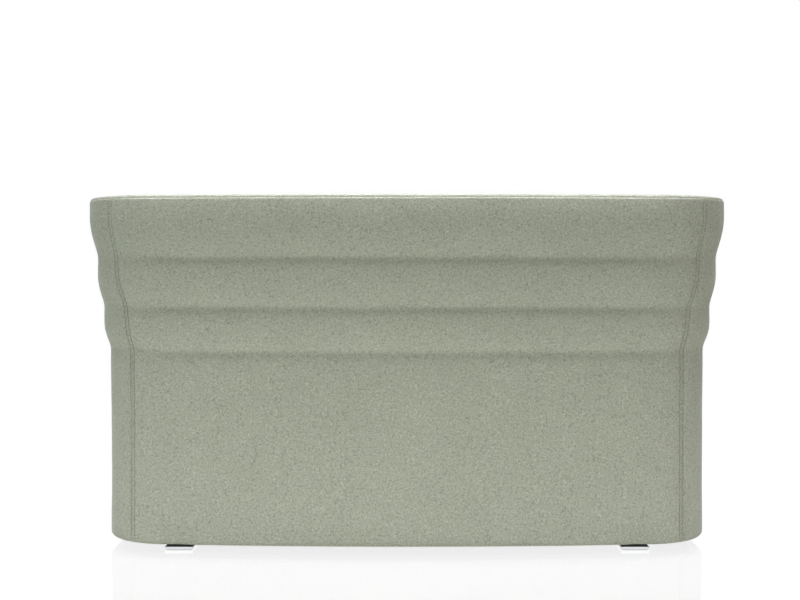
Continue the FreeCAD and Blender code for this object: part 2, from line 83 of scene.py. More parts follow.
def length(name, description, default):
    return bpy.props.FloatProperty(
        name=name, description=description, default=default, unit="LENGTH", subtype="DISTANCE", precision=4)


def lengths(name, description, default):
    return bpy.props.FloatVectorProperty(
        name=name, description=description, default=default, unit="LENGTH", subtype="XYZ")


def angle(name, description, degrees):
    return bpy.props.FloatProperty(
        name=name, description=description, default=math.radians(degrees), unit="ROTATION", subtype="ANGLE")


def colour(name, description, hex_colour):
    return bpy.props.FloatVectorProperty(
        name=name, description=description, default=linear(hex_colour), subtype="COLOR", min=0.0, max=1.0)


class SofaWallSizes(bpy.types.PropertyGroup):
    corner_radius: length("Corner radius", "Outside of the lower wall's rear corners", 0.150)
    bow_radius: length("Back bow", "Radius of the slightly bowed back", 5.2)
    thickness: length("Wall thickness", "Outside to inside of the padded wall", 0.080)
    wave_heights: lengths("Wave heights", "Height of each wave, lowest first", (0.092, 0.104, 0.125))
    wave_steps: lengths("Wave steps", "How far each wave steps out, lowest first", (0.014, 0.013, 0.017))
    wave_roll: length("Wave roll", "Height over which a wave rolls back in below the next crease", 0.036)
    wave_dip: length("Wave dip", "How far a wave rolls back in at the next crease", 0.0075)
    back_crease: length("Back creases", "Smoothing of the creases where the felt lies flat", 0.0032)
    corner_crease: length("Corner creases", "Smoothing of the creases where the felt is pulled", 0.0055)
    lower_waist: length("Lower waist", "How far the plain lower wall draws in", 0.0010)
    crown: length("Top crown", "Swell of the top border above its seams", 0.007)
    bottom_radius: length("Bottom roll", "Radius of the cover rolling under the bottom edge", 0.011)
    bottom_sag: length("Bottom sag", "How far the felt hangs below its frame at the bottom edge", 0.002)
    cover_return: length("Cover return", "Cover stapled flat under the bottom, past the roll", 0.017)
    inner_swell: length("Inner swell", "How far the inside waves stand out", 0.006)
    edge_roll: length("Edge roll", "Radius of the felt where it turns into the top seam", 0.0044)
    seam_angle: angle("Seam angle", "Corner seam on the lower wall, from the arm towards the back", 57)
    seam_drift: angle("Seam drift", "How much nearer the arm the seam runs over the waves", 6.5)


class SofaSewingSizes(bpy.types.PropertyGroup):
    row_offset: length("Stitch row", "Seam to each of the two rows of stitches", 0.0048)
    stitch_length: length("Stitch length", "Length of thread that shows", 0.0036)
    stitch_pitch: length("Stitch pitch", "From one stitch to the next", 0.0052)
    thread_radius: length("Thread", "Radius of the sewing thread", 0.0005)
    welt_radius: length("Cushion welt", "Radius of the piping round the cushions", 0.0030)
    staple_pitch: length("Staple pitch", "Distance between staples under the sofa", 0.034)


class SofaColours(bpy.types.PropertyGroup):
    felt: colour("Felt", "Main tone of the melange wool", "#A4A892")
    felt_light: colour("Light fibres", "Pale fibres in the melange", "#C4C8B4")
    felt_dark: colour("Dark fibres", "Dark fibres in the melange", "#777B6A")
    thread: colour("Thread", "Sewing thread", "#6A6F61")
    chrome: colour("Chrome", "Plated feet", "#E0E2E4")
    black_cloth: colour("Black cloth", "Deck and dust cloth", "#232426")
    floor: colour("Floor", "Studio floor", "#F4F4F4")


class SofaStudio(bpy.types.PropertyGroup):
    camera_place: lengths("Camera", "Where the camera stands", (0.0150, 3.103, 0.582))
    camera_pitch: angle("Pitch", "How far the camera looks down", 1.03)
    lens: bpy.props.FloatProperty(
        name="Lens", description="Focal length in millimetres", default=60.68, unit="CAMERA")


GROUPS = {
    "sofa_wall": SofaWallSizes, "sofa_sewing": SofaSewingSizes,
    "sofa_colours": SofaColours, "sofa_studio": SofaStudio,
}


# Materials

def feed(tree, node, inputs):
    """Links sockets to a node's inputs, and sets the inputs that get plain values."""
    for name, value in inputs.items():
        if isinstance(value, bpy.types.NodeSocket):
            tree.links.new(value, node.inputs[name])
        else:
            node.inputs[name].default_value = value


def add_node(tree, kind, inputs=None, **settings):
    """New shader node with its settings, and with sockets or values on its inputs."""
    node = tree.nodes.new("ShaderNode" + kind)
    for name, value in settings.items():
        setattr(node, name, value)
    feed(tree, node, inputs or {})
    return node


def per_metre(millimetres):
    """Scale of a pattern whose features are that far apart."""
    return 1000.0 / millimetres


def rgba(values):
    return (*values[:3], 1.0)


def finish(name, build, *values, **named):
    """Material of that name, made once: build returns what its shader's inputs take."""
    material = bpy.data.materials.get(name)
    if material is None:
        material = bpy.data.materials.new(name)
        material.use_nodes = True
        tree = material.node_tree
        place = add_node(tree, "TexCoord").outputs["Object"]
        feed(tree, tree.nodes["Principled BSDF"], build(tree, place, *values, **named))
    return material


def wool_felt(tree, place, colours):
    """Felted melange wool: matt, short pale and dark fibres over a grey-green ground, soft nap at the rim."""
    dark, light = rgba(colours.felt_dark), rgba(colours.felt_light)
    # Tint, shift, spacing in millimetres, range of the noise and greatest share of each layer of clumps,
    # which are as coarse as they need to be to show at the photo's scale
    layers = [
        (dark, (0.0, 0.0, 0.0), 4.3, (0.50, 0.70), 0.72),
        (light, (3.1, 1.7, 0.4), 4.0, (0.51, 0.71), 0.70),
        (dark, (0.7, 5.3, 2.9), 1.5, (0.55, 0.70), 0.40),
        (light, (6.1, 0.9, 4.2), 1.4, (0.55, 0.70), 0.38),
    ]
    mixed = rgba(colours.felt)
    for tint, shift, spacing, (low, high), most in layers:
        moved = add_node(tree, "VectorMath", {0: place, 1: shift}, operation="ADD")
        clumps = add_node(tree, "TexNoise", {
            "Vector": moved.outputs[0], "Scale": per_metre(spacing), "Detail": 2.0, "Roughness": 0.65})
        share = add_node(tree, "MapRange", {
            "Value": clumps.outputs["Fac"], "From Min": low, "From Max": high, "To Max": most})
        mixed = add_node(tree, "Mix", {0: share.outputs[0], 6: mixed, 7: tint}, data_type="RGBA").outputs[2]
    tone = add_node(tree, "TexNoise", {"Vector": place, "Scale": per_metre(70), "Detail": 3.0})
    drift = add_node(tree, "MapRange", {
        "Value": tone.outputs["Fac"], "From Min": 0.3, "From Max": 0.7, "To Min": 0.975, "To Max": 1.025})
    toned = add_node(tree, "HueSaturation", {"Value": drift.outputs[0], "Color": mixed})
    nap = add_node(tree, "TexNoise", {
        "Vector": place, "Scale": per_metre(1.1), "Detail": 3.0, "Roughness": 0.7})
    raised = add_node(tree, "Bump", {"Height": nap.outputs["Fac"], "Strength": 0.35, "Distance": 0.0006})
    return {
        "Base Color": toned.outputs[0], "Normal": raised.outputs[0], "Roughness": 0.95,
        "Specular IOR Level": 0.15, "Sheen Weight": 0.22, "Sheen Roughness": 0.3,
    }


def even(tree, place, tint, roughness, spacing, unevenness=0.08, metallic=0.0, bump=0.15, depth=0.0002):
    """Even finish whose tone, gloss and surface vary a little at the given spacing in millimetres."""
    grain = add_node(tree, "TexNoise", {
        "Vector": place, "Scale": per_metre(spacing), "Detail": 4.0}).outputs["Fac"]
    tone, gloss = (
        add_node(tree, "MapRange", {
            "Value": grain, "From Min": 0.3, "From Max": 0.7, "To Min": least, "To Max": most}).outputs[0]
        for least, most in ((1 - unevenness, 1 + unevenness), (roughness * 0.85, min(1.0, roughness * 1.15))))
    toned = add_node(tree, "HueSaturation", {"Value": tone, "Color": rgba(tint)})
    raised = add_node(tree, "Bump", {"Height": grain, "Strength": bump, "Distance": depth})
    return {
        "Base Color": toned.outputs[0], "Roughness": gloss, "Normal": raised.outputs[0], "Metallic": metallic,
    }


def plywood(tree, place, tint, dark, axis, layers_per_metre):
    """Plywood: long grain on the faces, and thin light and dark layers across its thickness on the edges."""
    across = [float(i == axis) for i in range(3)]
    stretch = [per_metre(9.0)] * 3
    stretch[2 if axis != 2 else 0] = per_metre(160.0)
    drawn = add_node(tree, "VectorMath", {0: place, 1: stretch}, operation="MULTIPLY")
    grain = add_node(tree, "TexNoise", {
        "Vector": drawn.outputs[0], "Scale": 1.0, "Detail": 5.0}).outputs["Fac"]
    counting = [layers_per_metre * share for share in across]
    counted = add_node(tree, "VectorMath", {0: place, 1: counting}, operation="DOT_PRODUCT")
    layer = add_node(tree, "Math", {0: counted.outputs["Value"], 1: 2.0}, operation="FLOORED_MODULO")
    second = add_node(tree, "Math", {0: layer.outputs[0], 1: 1.0}, operation="GREATER_THAN")
    normal = add_node(tree, "NewGeometry").outputs["Normal"]
    facing = add_node(tree, "VectorMath", {0: normal, 1: across}, operation="DOT_PRODUCT")
    size = add_node(tree, "Math", {0: facing.outputs["Value"]}, operation="ABSOLUTE")
    edge = add_node(tree, "Math", {0: size.outputs[0], 1: 0.5}, operation="LESS_THAN")
    striped = add_node(tree, "Math", {0: second.outputs[0], 1: edge.outputs[0]}, operation="MULTIPLY")
    veined = add_node(tree, "MapRange", {"Value": grain, "From Min": 0.35, "From Max": 0.75, "To Max": 0.45})
    share = add_node(tree, "Math", {0: striped.outputs[0], 1: veined.outputs[0]}, operation="MAXIMUM")
    mixed = add_node(tree, "Mix", {0: share.outputs[0], 6: rgba(tint), 7: rgba(dark)}, data_type="RGBA")
    raised = add_node(tree, "Bump", {"Height": grain, "Strength": 0.2, "Distance": 0.0004})
    return {"Base Color": mixed.outputs[2], "Normal": raised.outputs[0], "Roughness": 0.6}


def webbing(tree, place):
    """Elastic webbing: near-black ribs along the strap and coarse picks across it, paler where both rise."""
    ribs, picks = (
        add_node(tree, "TexWave", {
            "Vector": place, "Scale": per_metre(spacing) / (2 * math.pi), "Distortion": 0.4,
        }, bands_direction=axis)
        for axis, spacing in (("X", 2.5), ("Y", 3.0)))
    height = add_node(tree, "Math", {
        0: ribs.outputs["Fac"], 1: picks.outputs["Fac"]}, operation="MULTIPLY").outputs[0]
    mixed = add_node(tree, "Mix", {
        0: height, 6: rgba(linear("#1A1A1C")), 7: rgba(linear("#3C3B3A"))}, data_type="RGBA")
    raised = add_node(tree, "Bump", {"Height": height, "Strength": 0.6, "Distance": 0.0008})
    return {"Base Color": mixed.outputs[2], "Normal": raised.outputs[0], "Roughness": 0.85}


# Meshes

SMOOTH_BELOW = math.radians(48)


def piece(name, vertices, faces, material, slot, body=SOFA, replaces=()):
    """Smooth mesh piece that rides on a body, takes a finish and may stand for solids of the frame."""
    mesh = bpy.data.meshes.new(name)
    mesh.from_pydata([tuple(v) for v in vertices], [], faces)
    work = bmesh.new()
    work.from_mesh(mesh)
    bmesh.ops.remove_doubles(work, verts=work.verts, dist=1e-6)
    bmesh.ops.recalc_face_normals(work, faces=work.faces)
    work.to_mesh(mesh)
    work.free()
    mesh.polygons.foreach_set("use_smooth", [True] * len(mesh.polygons))
    mesh.set_sharp_from_angle(angle=SMOOTH_BELOW)
    mesh.materials.append(material)
    made = bpy.data.objects.new(name, mesh)
    bpy.context.scene.collection.objects.link(made)
    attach(made, body)
    if replaces:
        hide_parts(*replaces)
    return made


def thicken(sheet, thickness):
    """Gives a sheet its thickness, half to each side."""
    thick = sheet.modifiers.new("Thickness", "SOLIDIFY")
    thick.thickness, thick.offset = thickness, 0.0


def grid_faces(rows, columns):
    """Faces of a grid of points that are counted row by row."""
    corners = [i * columns + j for i in range(rows - 1) for j in range(columns - 1)]
    return [(a, a + 1, a + columns + 1, a + columns) for a in corners]


def ring_faces(rings, count, closed=False):
    """Faces between rings of so many points each, and back to the first ring if closed."""
    faces = []
    for i in range(rings if closed else rings - 1):
        following = (i + 1) % rings
        for j in range(count):
            k = (j + 1) % count
            faces.append((i * count + j, i * count + k, following * count + k, following * count + j))
    return faces


def between_grids(outside, inside):
    """Vertices and faces of the closed form between two grids of points of the same shape."""
    rows, columns = outside.shape[:2]
    count = rows * columns
    numbers = np.arange(count).reshape(rows, columns)
    border = joined(numbers[0], numbers[1:, -1], numbers[-1, -2::-1], numbers[-2:0:-1, 0]).tolist()
    faces = grid_faces(rows, columns)
    faces += [tuple(count + i for i in face[::-1]) for face in faces]
    faces += [(b, a, count + a, count + b) for a, b in zip(border, border[1:] + border[:1])]
    return np.concatenate([outside.reshape(-1, 3), inside.reshape(-1, 3)]), faces


def tube(points, radius, sides, closed=True):
    """Vertices and faces of a round cord along points."""
    points = np.asarray(points, float)
    count = len(points)
    ahead = np.roll(points, -1, 0) - np.roll(points, 1, 0)
    if not closed:
        ahead[0], ahead[-1] = points[1] - points[0], points[-1] - points[-2]
    ahead /= np.linalg.norm(ahead, axis=1)[:, None]
    lift = np.cross(ahead, (0.0, 0.0, 1.0))
    lift[np.linalg.norm(lift, axis=1) < 1e-6] = (1.0, 0.0, 0.0)
    lift /= np.linalg.norm(lift, axis=1)[:, None]
    rise = np.cross(lift, ahead)
    turn = np.linspace(0, 2 * math.pi, sides, endpoint=False)[None, :, None]
    ring = np.cos(turn) * lift[:, None] + np.sin(turn) * rise[:, None]
    vertices = (points[:, None] + radius * ring).reshape(-1, 3)
    faces = ring_faces(count, sides, closed)
    if not closed:
        faces += [tuple(range(sides))[::-1], tuple(range((count - 1) * sides, count * sides))]
    return vertices, faces


def gathered(parts):
    """One list of vertices and faces from several."""
    vertices, faces, base = [], [], 0
    for part_vertices, part_faces in parts:
        vertices.extend(part_vertices)
        faces.extend(tuple(base + i for i in face) for face in part_faces)
        base += len(part_vertices)
    return vertices, faces


def joined(*parts):
    """One row from numbers and rows of numbers."""
    return np.concatenate([np.atleast_1d(part) for part in parts])


def lengths_along(line):
    """Length of a line up to each of its points."""
    return joined(0.0, np.cumsum(np.linalg.norm(np.diff(line, axis=0), axis=1)))


def at_lengths(line, at):
    """Points that lie at the given lengths along a line."""
    return np.stack([np.interp(at, lengths_along(line), values) for values in line.T], -1)


@np.vectorize
def uneven(x, y, layer, size):
    """Smooth unevenness between about -1 and 1 whose humps are that far apart, another on each layer."""
    return noise.noise(Vector((x / size, y / size, layer / size)))


def smooth_step(value, low, high):
    share = np.clip((np.asarray(value, float) - low) / (high - low), 0, 1)
    return share * share * (3 - 2 * share)


# The padded wall

COVER = 0.0025
LAYER_GAP = 0.0007
FOAM_DEPTH = 0.014  # outside of the lower wall to the bent board
CORE_LEAN = 0.041  # how far the frame leans out over the waves
CORE_TOP_DROP = 0.008  # frame's top below the top seam
CORE_THICKNESS = 0.0454  # bent board to inner board
RUN_STEP = 0.012
CORNER_STEP = 0.005
LEAST_STEP = 0.00025
FINE_STEP = 0.0005
WAVE_STEP = 0.0032  # heights between points on the outside's waves
INNER_STEP = 0.0055  # and on the inside's
SEAM_REACH = 0.16  # how far from a corner seam the columns of points lean with it
SEAM_DISTANCES = 0.001 * np.array(
    (0.0, 0.4, 0.8, 1.4, 2.2, 3.0, 3.7, 4.2, 4.8, 5.4, 6.0, 6.8, 8.0, 10.0, 13.0))
ROLL_POWER = 2.6  # how late a wave rolls back in
FIRST_DIP = 0.55  # share of the dip by which the lower wall rolls in below the first crease
TOP_DIP = 0.3  # share of the dip by which the top wave rolls in, so that the wall ends at a crisp edge
BACK_WAVES = (1.0, 0.0, 1.0)  # share of the dip, lag and delay of the waves where the felt lies flat
CORNER_WAVES = (0.07, 0.005, 1.25)  # and where it is pulled round a corner
ARM_EASE = 0.6  # how far the felt lies flat again along the arms
EVEN_HEIGHT = 0.05  # height over which the unevenness fades out towards the bottom roll and the top edge
EVEN_LEAST = 0.15  # share of the unevenness that is left at the top edge
EDGE_PULL = 0.65  # share of the top edge's roll that is pulled flat at a corner
EDGE_TURN = math.radians(84)  # how far the felt turns into the top seam
END_RADIUS = 0.005  # edge of the covers at the arm's front
TUCK_DEPTH = 0.0055  # how far the felt is drawn in above a rear foot
TUCK_WIDTH = 0.024
TUCK_HEIGHT = 0.045
SEAM_DEPTH = 0.0010  # how far a sewn seam draws the felt in
SEAM_WIDTH = 0.0009
ROW_DEPTH = 0.0010  # and a row of stitches
ROW_WIDTH = 0.0012


class Wall:
    """Plan, heights and section of the padded wall. A run is a distance along it from the back's middle."""

    def __init__(self, sizes):
        steps, heights = list(sizes.wave_steps), list(sizes.wave_heights)
        self.sizes = sizes
        self.half = CAD_HIGH.x - sum(steps)
        self.front = CAD_LOW.y
        self.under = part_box("outer_back_cover")[0].z - sizes.bottom_sag
        self.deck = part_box("inner_back_cover")[0].z
        self.seam_z = CAD_HIGH.z - sizes.crown
        self.bow_y = CAD_HIGH.y - sum(steps) - sizes.bow_radius
        self.corner_x = self.half - sizes.corner_radius
        reach = sizes.bow_radius - sizes.corner_radius
        self.corner_y = self.bow_y + math.sqrt(reach**2 - self.corner_x**2)
        self.bow_turn = math.asin(self.corner_x / reach)
        self.back_run = sizes.bow_radius * self.bow_turn
        self.corner_end = self.back_run + sizes.corner_radius * (QUARTER - self.bow_turn)
        self.end_run = self.corner_end + self.corner_y - self.front - COVER - LAYER_GAP / 2
        self.seam_run = self.back_run + sizes.corner_radius * (QUARTER - sizes.seam_angle - self.bow_turn)
        self.creases = [self.seam_z - sum(heights[i:]) for i in range(len(heights) + 1)]
        self.peaks = [sum(steps[:i]) for i in range(len(steps) + 1)]
        self.roll_z = self.under + sizes.bottom_radius
        self.top_z = self.seam_z - sizes.edge_roll
        self.fine_z = np.arange(self.roll_z - 0.03, self.seam_z + 0.03, FINE_STEP)
        self.back_u = self.smoothed(self.raw_outside(*BACK_WAVES), sizes.back_crease)
        self.corner_u = self.smoothed(self.raw_outside(*CORNER_WAVES), sizes.corner_crease)

    def place(self, run):
        """Points on the lower wall's outside at the runs, and the directions out from there."""
        sizes = self.sizes
        run = np.asarray(run, float)
        side = np.where(run < 0, -1.0, 1.0)
        run = np.abs(run)
        in_back = run < self.back_run
        turn = np.clip(self.bow_turn + (run - self.back_run) / sizes.corner_radius, 0, QUARTER)
        turn = np.where(in_back, run / sizes.bow_radius, turn)
        out_x, out_y = np.sin(turn), np.cos(turn)
        radius = np.where(in_back, sizes.bow_radius, sizes.corner_radius)
        x = np.where(in_back, 0.0, self.corner_x) + radius * out_x
        y = np.where(in_back, self.bow_y, self.corner_y) + radius * out_y
        y = y - np.clip(run - self.corner_end, 0, None)
        return np.stack([side * x, y], -1), np.stack([side * out_x, out_y], -1)

    def spread(self, run, u):
        """How much longer a run is at the distance u out from the lower wall."""
        in_corner = (np.abs(run) > self.back_run) & (np.abs(run) < self.corner_end)
        return np.where(in_corner, 1 + u / self.sizes.corner_radius, 1.0)

    def seam_shift(self, z):
        """How much further round the corner the seam runs at a height than on the lower wall."""
        share = smooth_step(z, self.creases[0] + 0.03, self.creases[2])
        return self.sizes.corner_radius * self.sizes.seam_drift * share

    def seamed(self, runs, z):
        """Runs at each height, a row for each run, moved so that those at a corner seam follow it."""
        near = 1 - smooth_step(np.abs(np.abs(runs) - self.seam_run), 0.0, SEAM_REACH)
        return runs[:, None] + (np.sign(runs) * near)[:, None] * self.seam_shift(z)[None]

    def points(self, runs, u, z):
        """Places from the run along the wall, the distance out and the height of each point of a grid."""
        runs, u, z = np.broadcast_arrays(runs, u, z)
        origin, out = self.place(runs)
        return np.concatenate([origin + out * u[..., None], z[..., None]], -1)

    def raw_outside(self, dip_share, lag, delay):
        """Unsmoothed distance out at each fine height. Lag and delay hold a wave's rise back."""
        sizes = self.sizes
        z, roll, dip = self.fine_z, sizes.wave_roll, sizes.wave_dip * dip_share
        low, first = self.roll_z, self.creases[0]
        waist = smooth_step(z, low + 0.02, low + 0.12) * (1 - smooth_step(z, first - 0.22, first - 0.02))
        foot = -FIRST_DIP * dip
        u = foot * np.clip((z - first + roll) / roll, 0, 1) ** ROLL_POWER - sizes.lower_waist * waist
        for i, peak in enumerate(self.peaks[1:]):
            start, end = self.creases[i], self.creases[i + 1]
            rise = np.clip((z - start - lag) / (end - roll - start - lag), 0, 1) ** delay
            fall = np.clip((z - end + roll) / roll, 0, 1) ** ROLL_POWER
            drop = dip if end < self.seam_z else TOP_DIP * dip
            wave = foot + (peak - foot) * (1 - (1 - rise) ** 2) - drop * fall
            u = np.where(z >= start, wave, u)
            foot = peak - dip
        return u

    def smoothed(self, u, softness):
        """Distances out, rounded off over about that height."""
        reach = int(4 * softness / FINE_STEP) + 1
        weights = np.exp(-0.5 * (np.arange(-reach, reach + 1) * FINE_STEP / softness) ** 2)
        return np.convolve(np.pad(u, reach, mode="edge"), weights / weights.sum(), mode="valid")

    def softness(self, run):
        """0 where the creases are crisp, 1 where the felt is pulled round a corner."""
        run = np.abs(np.asarray(run, float))
        into = smooth_step(run, self.back_run - 0.03, self.seam_run + 0.02)
        out = smooth_step(run, self.corner_end + 0.02, self.corner_end + 0.16)
        return into * (1 - ARM_EASE * out)

    def edge_share(self, runs):
        """How much of the top edge's roll is left."""
        return 1 - EDGE_PULL * self.softness(runs)

    def outside_u(self, runs, z):
        """Distance out of the outside at each run and height."""
        back = np.interp(z, self.fine_z, self.back_u)
        corner = np.interp(z, self.fine_z, self.corner_u)
        return back + self.softness(runs) * (corner - back)

    def core_u(self, z):
        """Outside of the frame's bent board."""
        rise = np.clip((z - self.creases[0]) / (self.seam_z - CORE_TOP_DROP - self.creases[0]), 0, 1)
        return CORE_LEAN * rise - FOAM_DEPTH

    def inside_u(self, z):
        """Inside of the wall, with a soft swell between its creases."""
        u = np.interp(z, self.creases, self.peaks) - self.sizes.thickness
        for low, high in zip(self.creases, self.creases[1:]):
            share = np.clip((z - low) / (high - low), 0, 1)
            u = u - self.sizes.inner_swell * np.sin(math.pi * share) ** 0.8
        return u

    def back_line(self, x, inset):
        """Where the lower wall, at that inset from its outside, lies behind x."""
        bow = self.sizes.bow_radius - inset
        if abs(x) < bow * math.sin(self.bow_turn):
            return self.bow_y + math.sqrt(bow**2 - x**2)
        turn = self.sizes.corner_radius - inset
        return self.corner_y + math.sqrt(max(0.0, turn**2 - (abs(x) - self.corner_x) ** 2))

    def runs_between(self, start, end):
        """Runs from start to end, close together at both ends and round the corner."""
        corner = np.arange(self.back_run - 0.02, self.corner_end + 0.02, CORNER_STEP)
        count = max(2, int(round((end - start) / RUN_STEP)))
        runs = joined(np.linspace(start, end, count + 1), -corner, corner)
        runs = runs[(runs > start + SEAM_DISTANCES[-1]) & (runs < end - SEAM_DISTANCES[-1])]
        runs = np.unique(joined(start + SEAM_DISTANCES, end - SEAM_DISTANCES, runs).round(5))
        return runs[joined(True, np.diff(runs) > LEAST_STEP)]

    def outside_profile(self):
        """Distances out and heights of the bottom roll, and the heights from there to the top edge."""
        radius = self.sizes.bottom_radius
        turn = np.linspace(0, QUARTER, 10)
        low_u = joined(-radius - self.sizes.cover_return, -radius - 0.004, -radius + radius * np.sin(turn))
        low_z = joined(self.under, self.under, self.roll_z - radius * np.cos(turn))
        plain = np.linspace(self.roll_z, self.creases[0] - 0.03, 20)[1:-1]
        waves = np.arange(self.creases[0] - 0.03, self.top_z - 0.002, WAVE_STEP)
        return low_u, low_z, joined(plain, waves, self.top_z)

    def foot_tuck(self, runs, heights):
        """How far the felt is drawn in where it is stapled tight above a rear foot, a row for each run."""
        low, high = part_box("rear_right_foot")
        bow = self.sizes.bow_radius
        beside = np.abs(runs) - bow * math.asin((low.x + high.x) / 2 / bow)
        above = 1 - smooth_step(heights, self.roll_z, self.roll_z + TUCK_HEIGHT)
        return TUCK_DEPTH * np.exp(-(beside / TUCK_WIDTH) ** 2)[:, None] * above

    def end_drop(self, runs, u, start, end, row_offset):
        """How far the felt of a panel sinks at its two ends: into a sewn seam or over the arm's front."""
        total = np.zeros_like(u)
        for edge in (start, end):
            distance = np.abs(runs - edge)[:, None] * self.spread(runs[:, None], u)
            if abs(abs(edge) - self.end_run) < 1e-6:
                total += turned_edge(distance, END_RADIUS)
            else:
                total += SEAM_DEPTH * np.exp(-(distance / SEAM_WIDTH) ** 2)
                total += ROW_DEPTH * np.exp(-((distance - row_offset) / ROW_WIDTH) ** 2)
        return total


def turned_edge(distance, radius):
    """How far a cover falls away over a rounded edge, at that distance from the edge."""
    inward = np.clip(radius - distance, 0, radius)
    return radius - np.sqrt(radius**2 - inward**2)


def outer_panel(wall, start, end, row_offset):
    """Grids of a panel of the outer cover and of the back of its foam."""
    low_u, low_z, high_z = wall.outside_profile()
    turn = np.linspace(0, EDGE_TURN, 7)[1:]
    roll = wall.sizes.edge_roll
    heights = joined(high_z, wall.top_z + roll * np.sin(turn))
    column_z = joined(low_z, heights)
    straight = wall.runs_between(start, end)
    across = straight[:, None]
    runs = wall.seamed(straight, column_z)
    bottom = len(low_u)
    u = wall.outside_u(runs, np.clip(column_z, wall.roll_z, wall.top_z)[None])
    u[:, :bottom] = low_u + u[:, :bottom] * np.linspace(0, 1, bottom) ** 2
    u[:, -len(turn):] -= wall.edge_share(across) * (roll - roll * np.cos(turn))
    ease = np.clip((wall.top_z - heights) / EVEN_HEIGHT, EVEN_LEAST, 1)
    ease = np.minimum((heights - wall.roll_z) / EVEN_HEIGHT, ease)
    bumps = 0.0006 * uneven(across, heights, 1.3, 0.11) + 0.0003 * uneven(across, heights, 7.7, 0.04)
    u[:, bottom:] += ease * bumps
    u -= wall.end_drop(straight, u, start, end, row_offset) + wall.foot_tuck(straight, column_z)
    back_z = column_z.copy()
    back_z[:2] += COVER
    back_z[2:bottom] = np.linspace(wall.under + COVER, wall.roll_z, bottom - 2)
    back_z = np.minimum(back_z, wall.seam_z - CORE_TOP_DROP + LAYER_GAP)
    back_u = wall.core_u(back_z) + LAYER_GAP
    back_u[:bottom] = np.minimum(back_u[:bottom], low_u)
    return wall.points(runs, u, column_z), wall.points(runs, back_u, back_z)


def inner_panel(wall, start, end, row_offset):
    """Grids of a panel of the inner cover and of the back of its foam."""
    runs = wall.runs_between(start, end)
    across = runs[:, None]
    heights = joined(
        np.linspace(wall.deck, wall.creases[0] - 0.02, 14)[:-1],
        np.arange(wall.creases[0] - 0.02, wall.top_z - 0.003, INNER_STEP), wall.top_z)
    turn = np.linspace(0, EDGE_TURN, 6)[1:]
    roll = wall.sizes.edge_roll
    u = wall.inside_u(heights)
    column_z = joined(heights, wall.top_z + roll * np.sin(turn))
    u = joined(u, u[-1] + roll - roll * np.cos(turn)) + 0.0006 * uneven(across, column_z, 4.4, 0.10)
    u += wall.end_drop(runs, u, start, end, row_offset)
    back_z = np.minimum(column_z, wall.seam_z - CORE_TOP_DROP)
    back_u = wall.core_u(back_z) - CORE_THICKNESS - LAYER_GAP
    return wall.points(across, u, column_z), wall.points(across, back_u, back_z)


def tools(context):
    """The wall, the sizes of the sewing and the felt."""
    scene = context.scene
    felt = finish("felted_melange_wool", wool_felt, scene.sofa_colours)
    return Wall(scene.sofa_wall), scene.sofa_sewing, felt


class SOFA_OT_wall_covers(bpy.types.Operator):
    """Sews the outer and inner covers of the wall over their foam"""
    bl_idname = "sofa.wall_covers"
    bl_label = "Wall Covers"

    def execute(self, context):
        wall, sewing, felt = tools(context)
        panels = {
            "back": (-wall.seam_run, wall.seam_run),
            "right": (wall.seam_run, wall.end_run),
            "left": (-wall.end_run, -wall.seam_run),
        }
        for name, (start, end) in panels.items():
            for face, maker in (("outer", outer_panel), ("inner", inner_panel)):
                vertices, faces = between_grids(*maker(wall, start, end, sewing.row_offset))
                nodes = (f"{face}_{name}_cover", f"{face}_{name}_foam")
                made = piece(f"{face}_{name}_upholstery", vertices, faces, felt, "wool_felt", replaces=nodes)
        return {"FINISHED"}


class SOFA_OT_top_border(bpy.types.Operator):
    """Lays the crowned top border between the seams of the outer and inner covers"""
    bl_idname = "sofa.top_border"
    bl_label = "Top Border"

    def execute(self, context):
        wall, _, felt = tools(context)
        roll = wall.sizes.edge_roll
        runs = wall.runs_between(-wall.end_run, wall.end_run)[:, None]
        # The border stands up behind the covers' rolled edges, turns over and crowns
        outer_gap, inner_gap = 0.0008, 0.0002
        outer = wall.outside_u(runs, wall.top_z) - roll * wall.edge_share(runs) - outer_gap
        inner = wall.inside_u(np.array([wall.top_z]))[0] + roll + inner_gap
        middle, half = (outer + inner) / 2, (outer - inner) / 2
        radius, stand, tail, over = 0.0052, 0.0005, 0.0025, 0.001
        turn = np.linspace(0, QUARTER, 8)
        fall_in = joined(0.0, radius - radius * np.cos(turn))
        height = joined(-tail, stand + radius * np.sin(turn))
        share = np.linspace(1, -1, 20)[1:-1]
        u = np.concatenate([
            middle + half - fall_in, middle + (half - radius) * share, middle - half + fall_in[::-1]], 1)
        swell = CAD_HIGH.z + over - wall.seam_z - stand - radius
        column_z = joined(height, stand + radius + swell * (1 - share**2), height[::-1])
        rise = np.clip(column_z / wall.sizes.crown, 0, 1)
        z = wall.seam_z + column_z + 0.00015 * uneven(runs, u, 2.2, 0.07) * rise
        z -= turned_edge(wall.end_run - np.abs(runs), END_RADIUS)
        flat = wall.seam_z - CORE_TOP_DROP + 2 * LAYER_GAP
        grids = wall.points(runs, u, z), wall.points(runs, u, np.minimum(flat, z - 0.001))
        made = piece("top_border", *between_grids(*grids), felt, "wool_felt", replaces=("top_border_cover",))
        return {"FINISHED"}


def stitch(start, end, out, radius):
    """Vertices and faces of one sewn stitch, which dips into the felt at both ends."""
    path = [start + (end - start) * share + out * radius * lift
            for share, lift in ((0.0, -1.4), (0.25, 0.55), (0.5, 0.8), (0.75, 0.55), (1.0, -1.4))]
    return tube(path, radius, sides=6, closed=False)


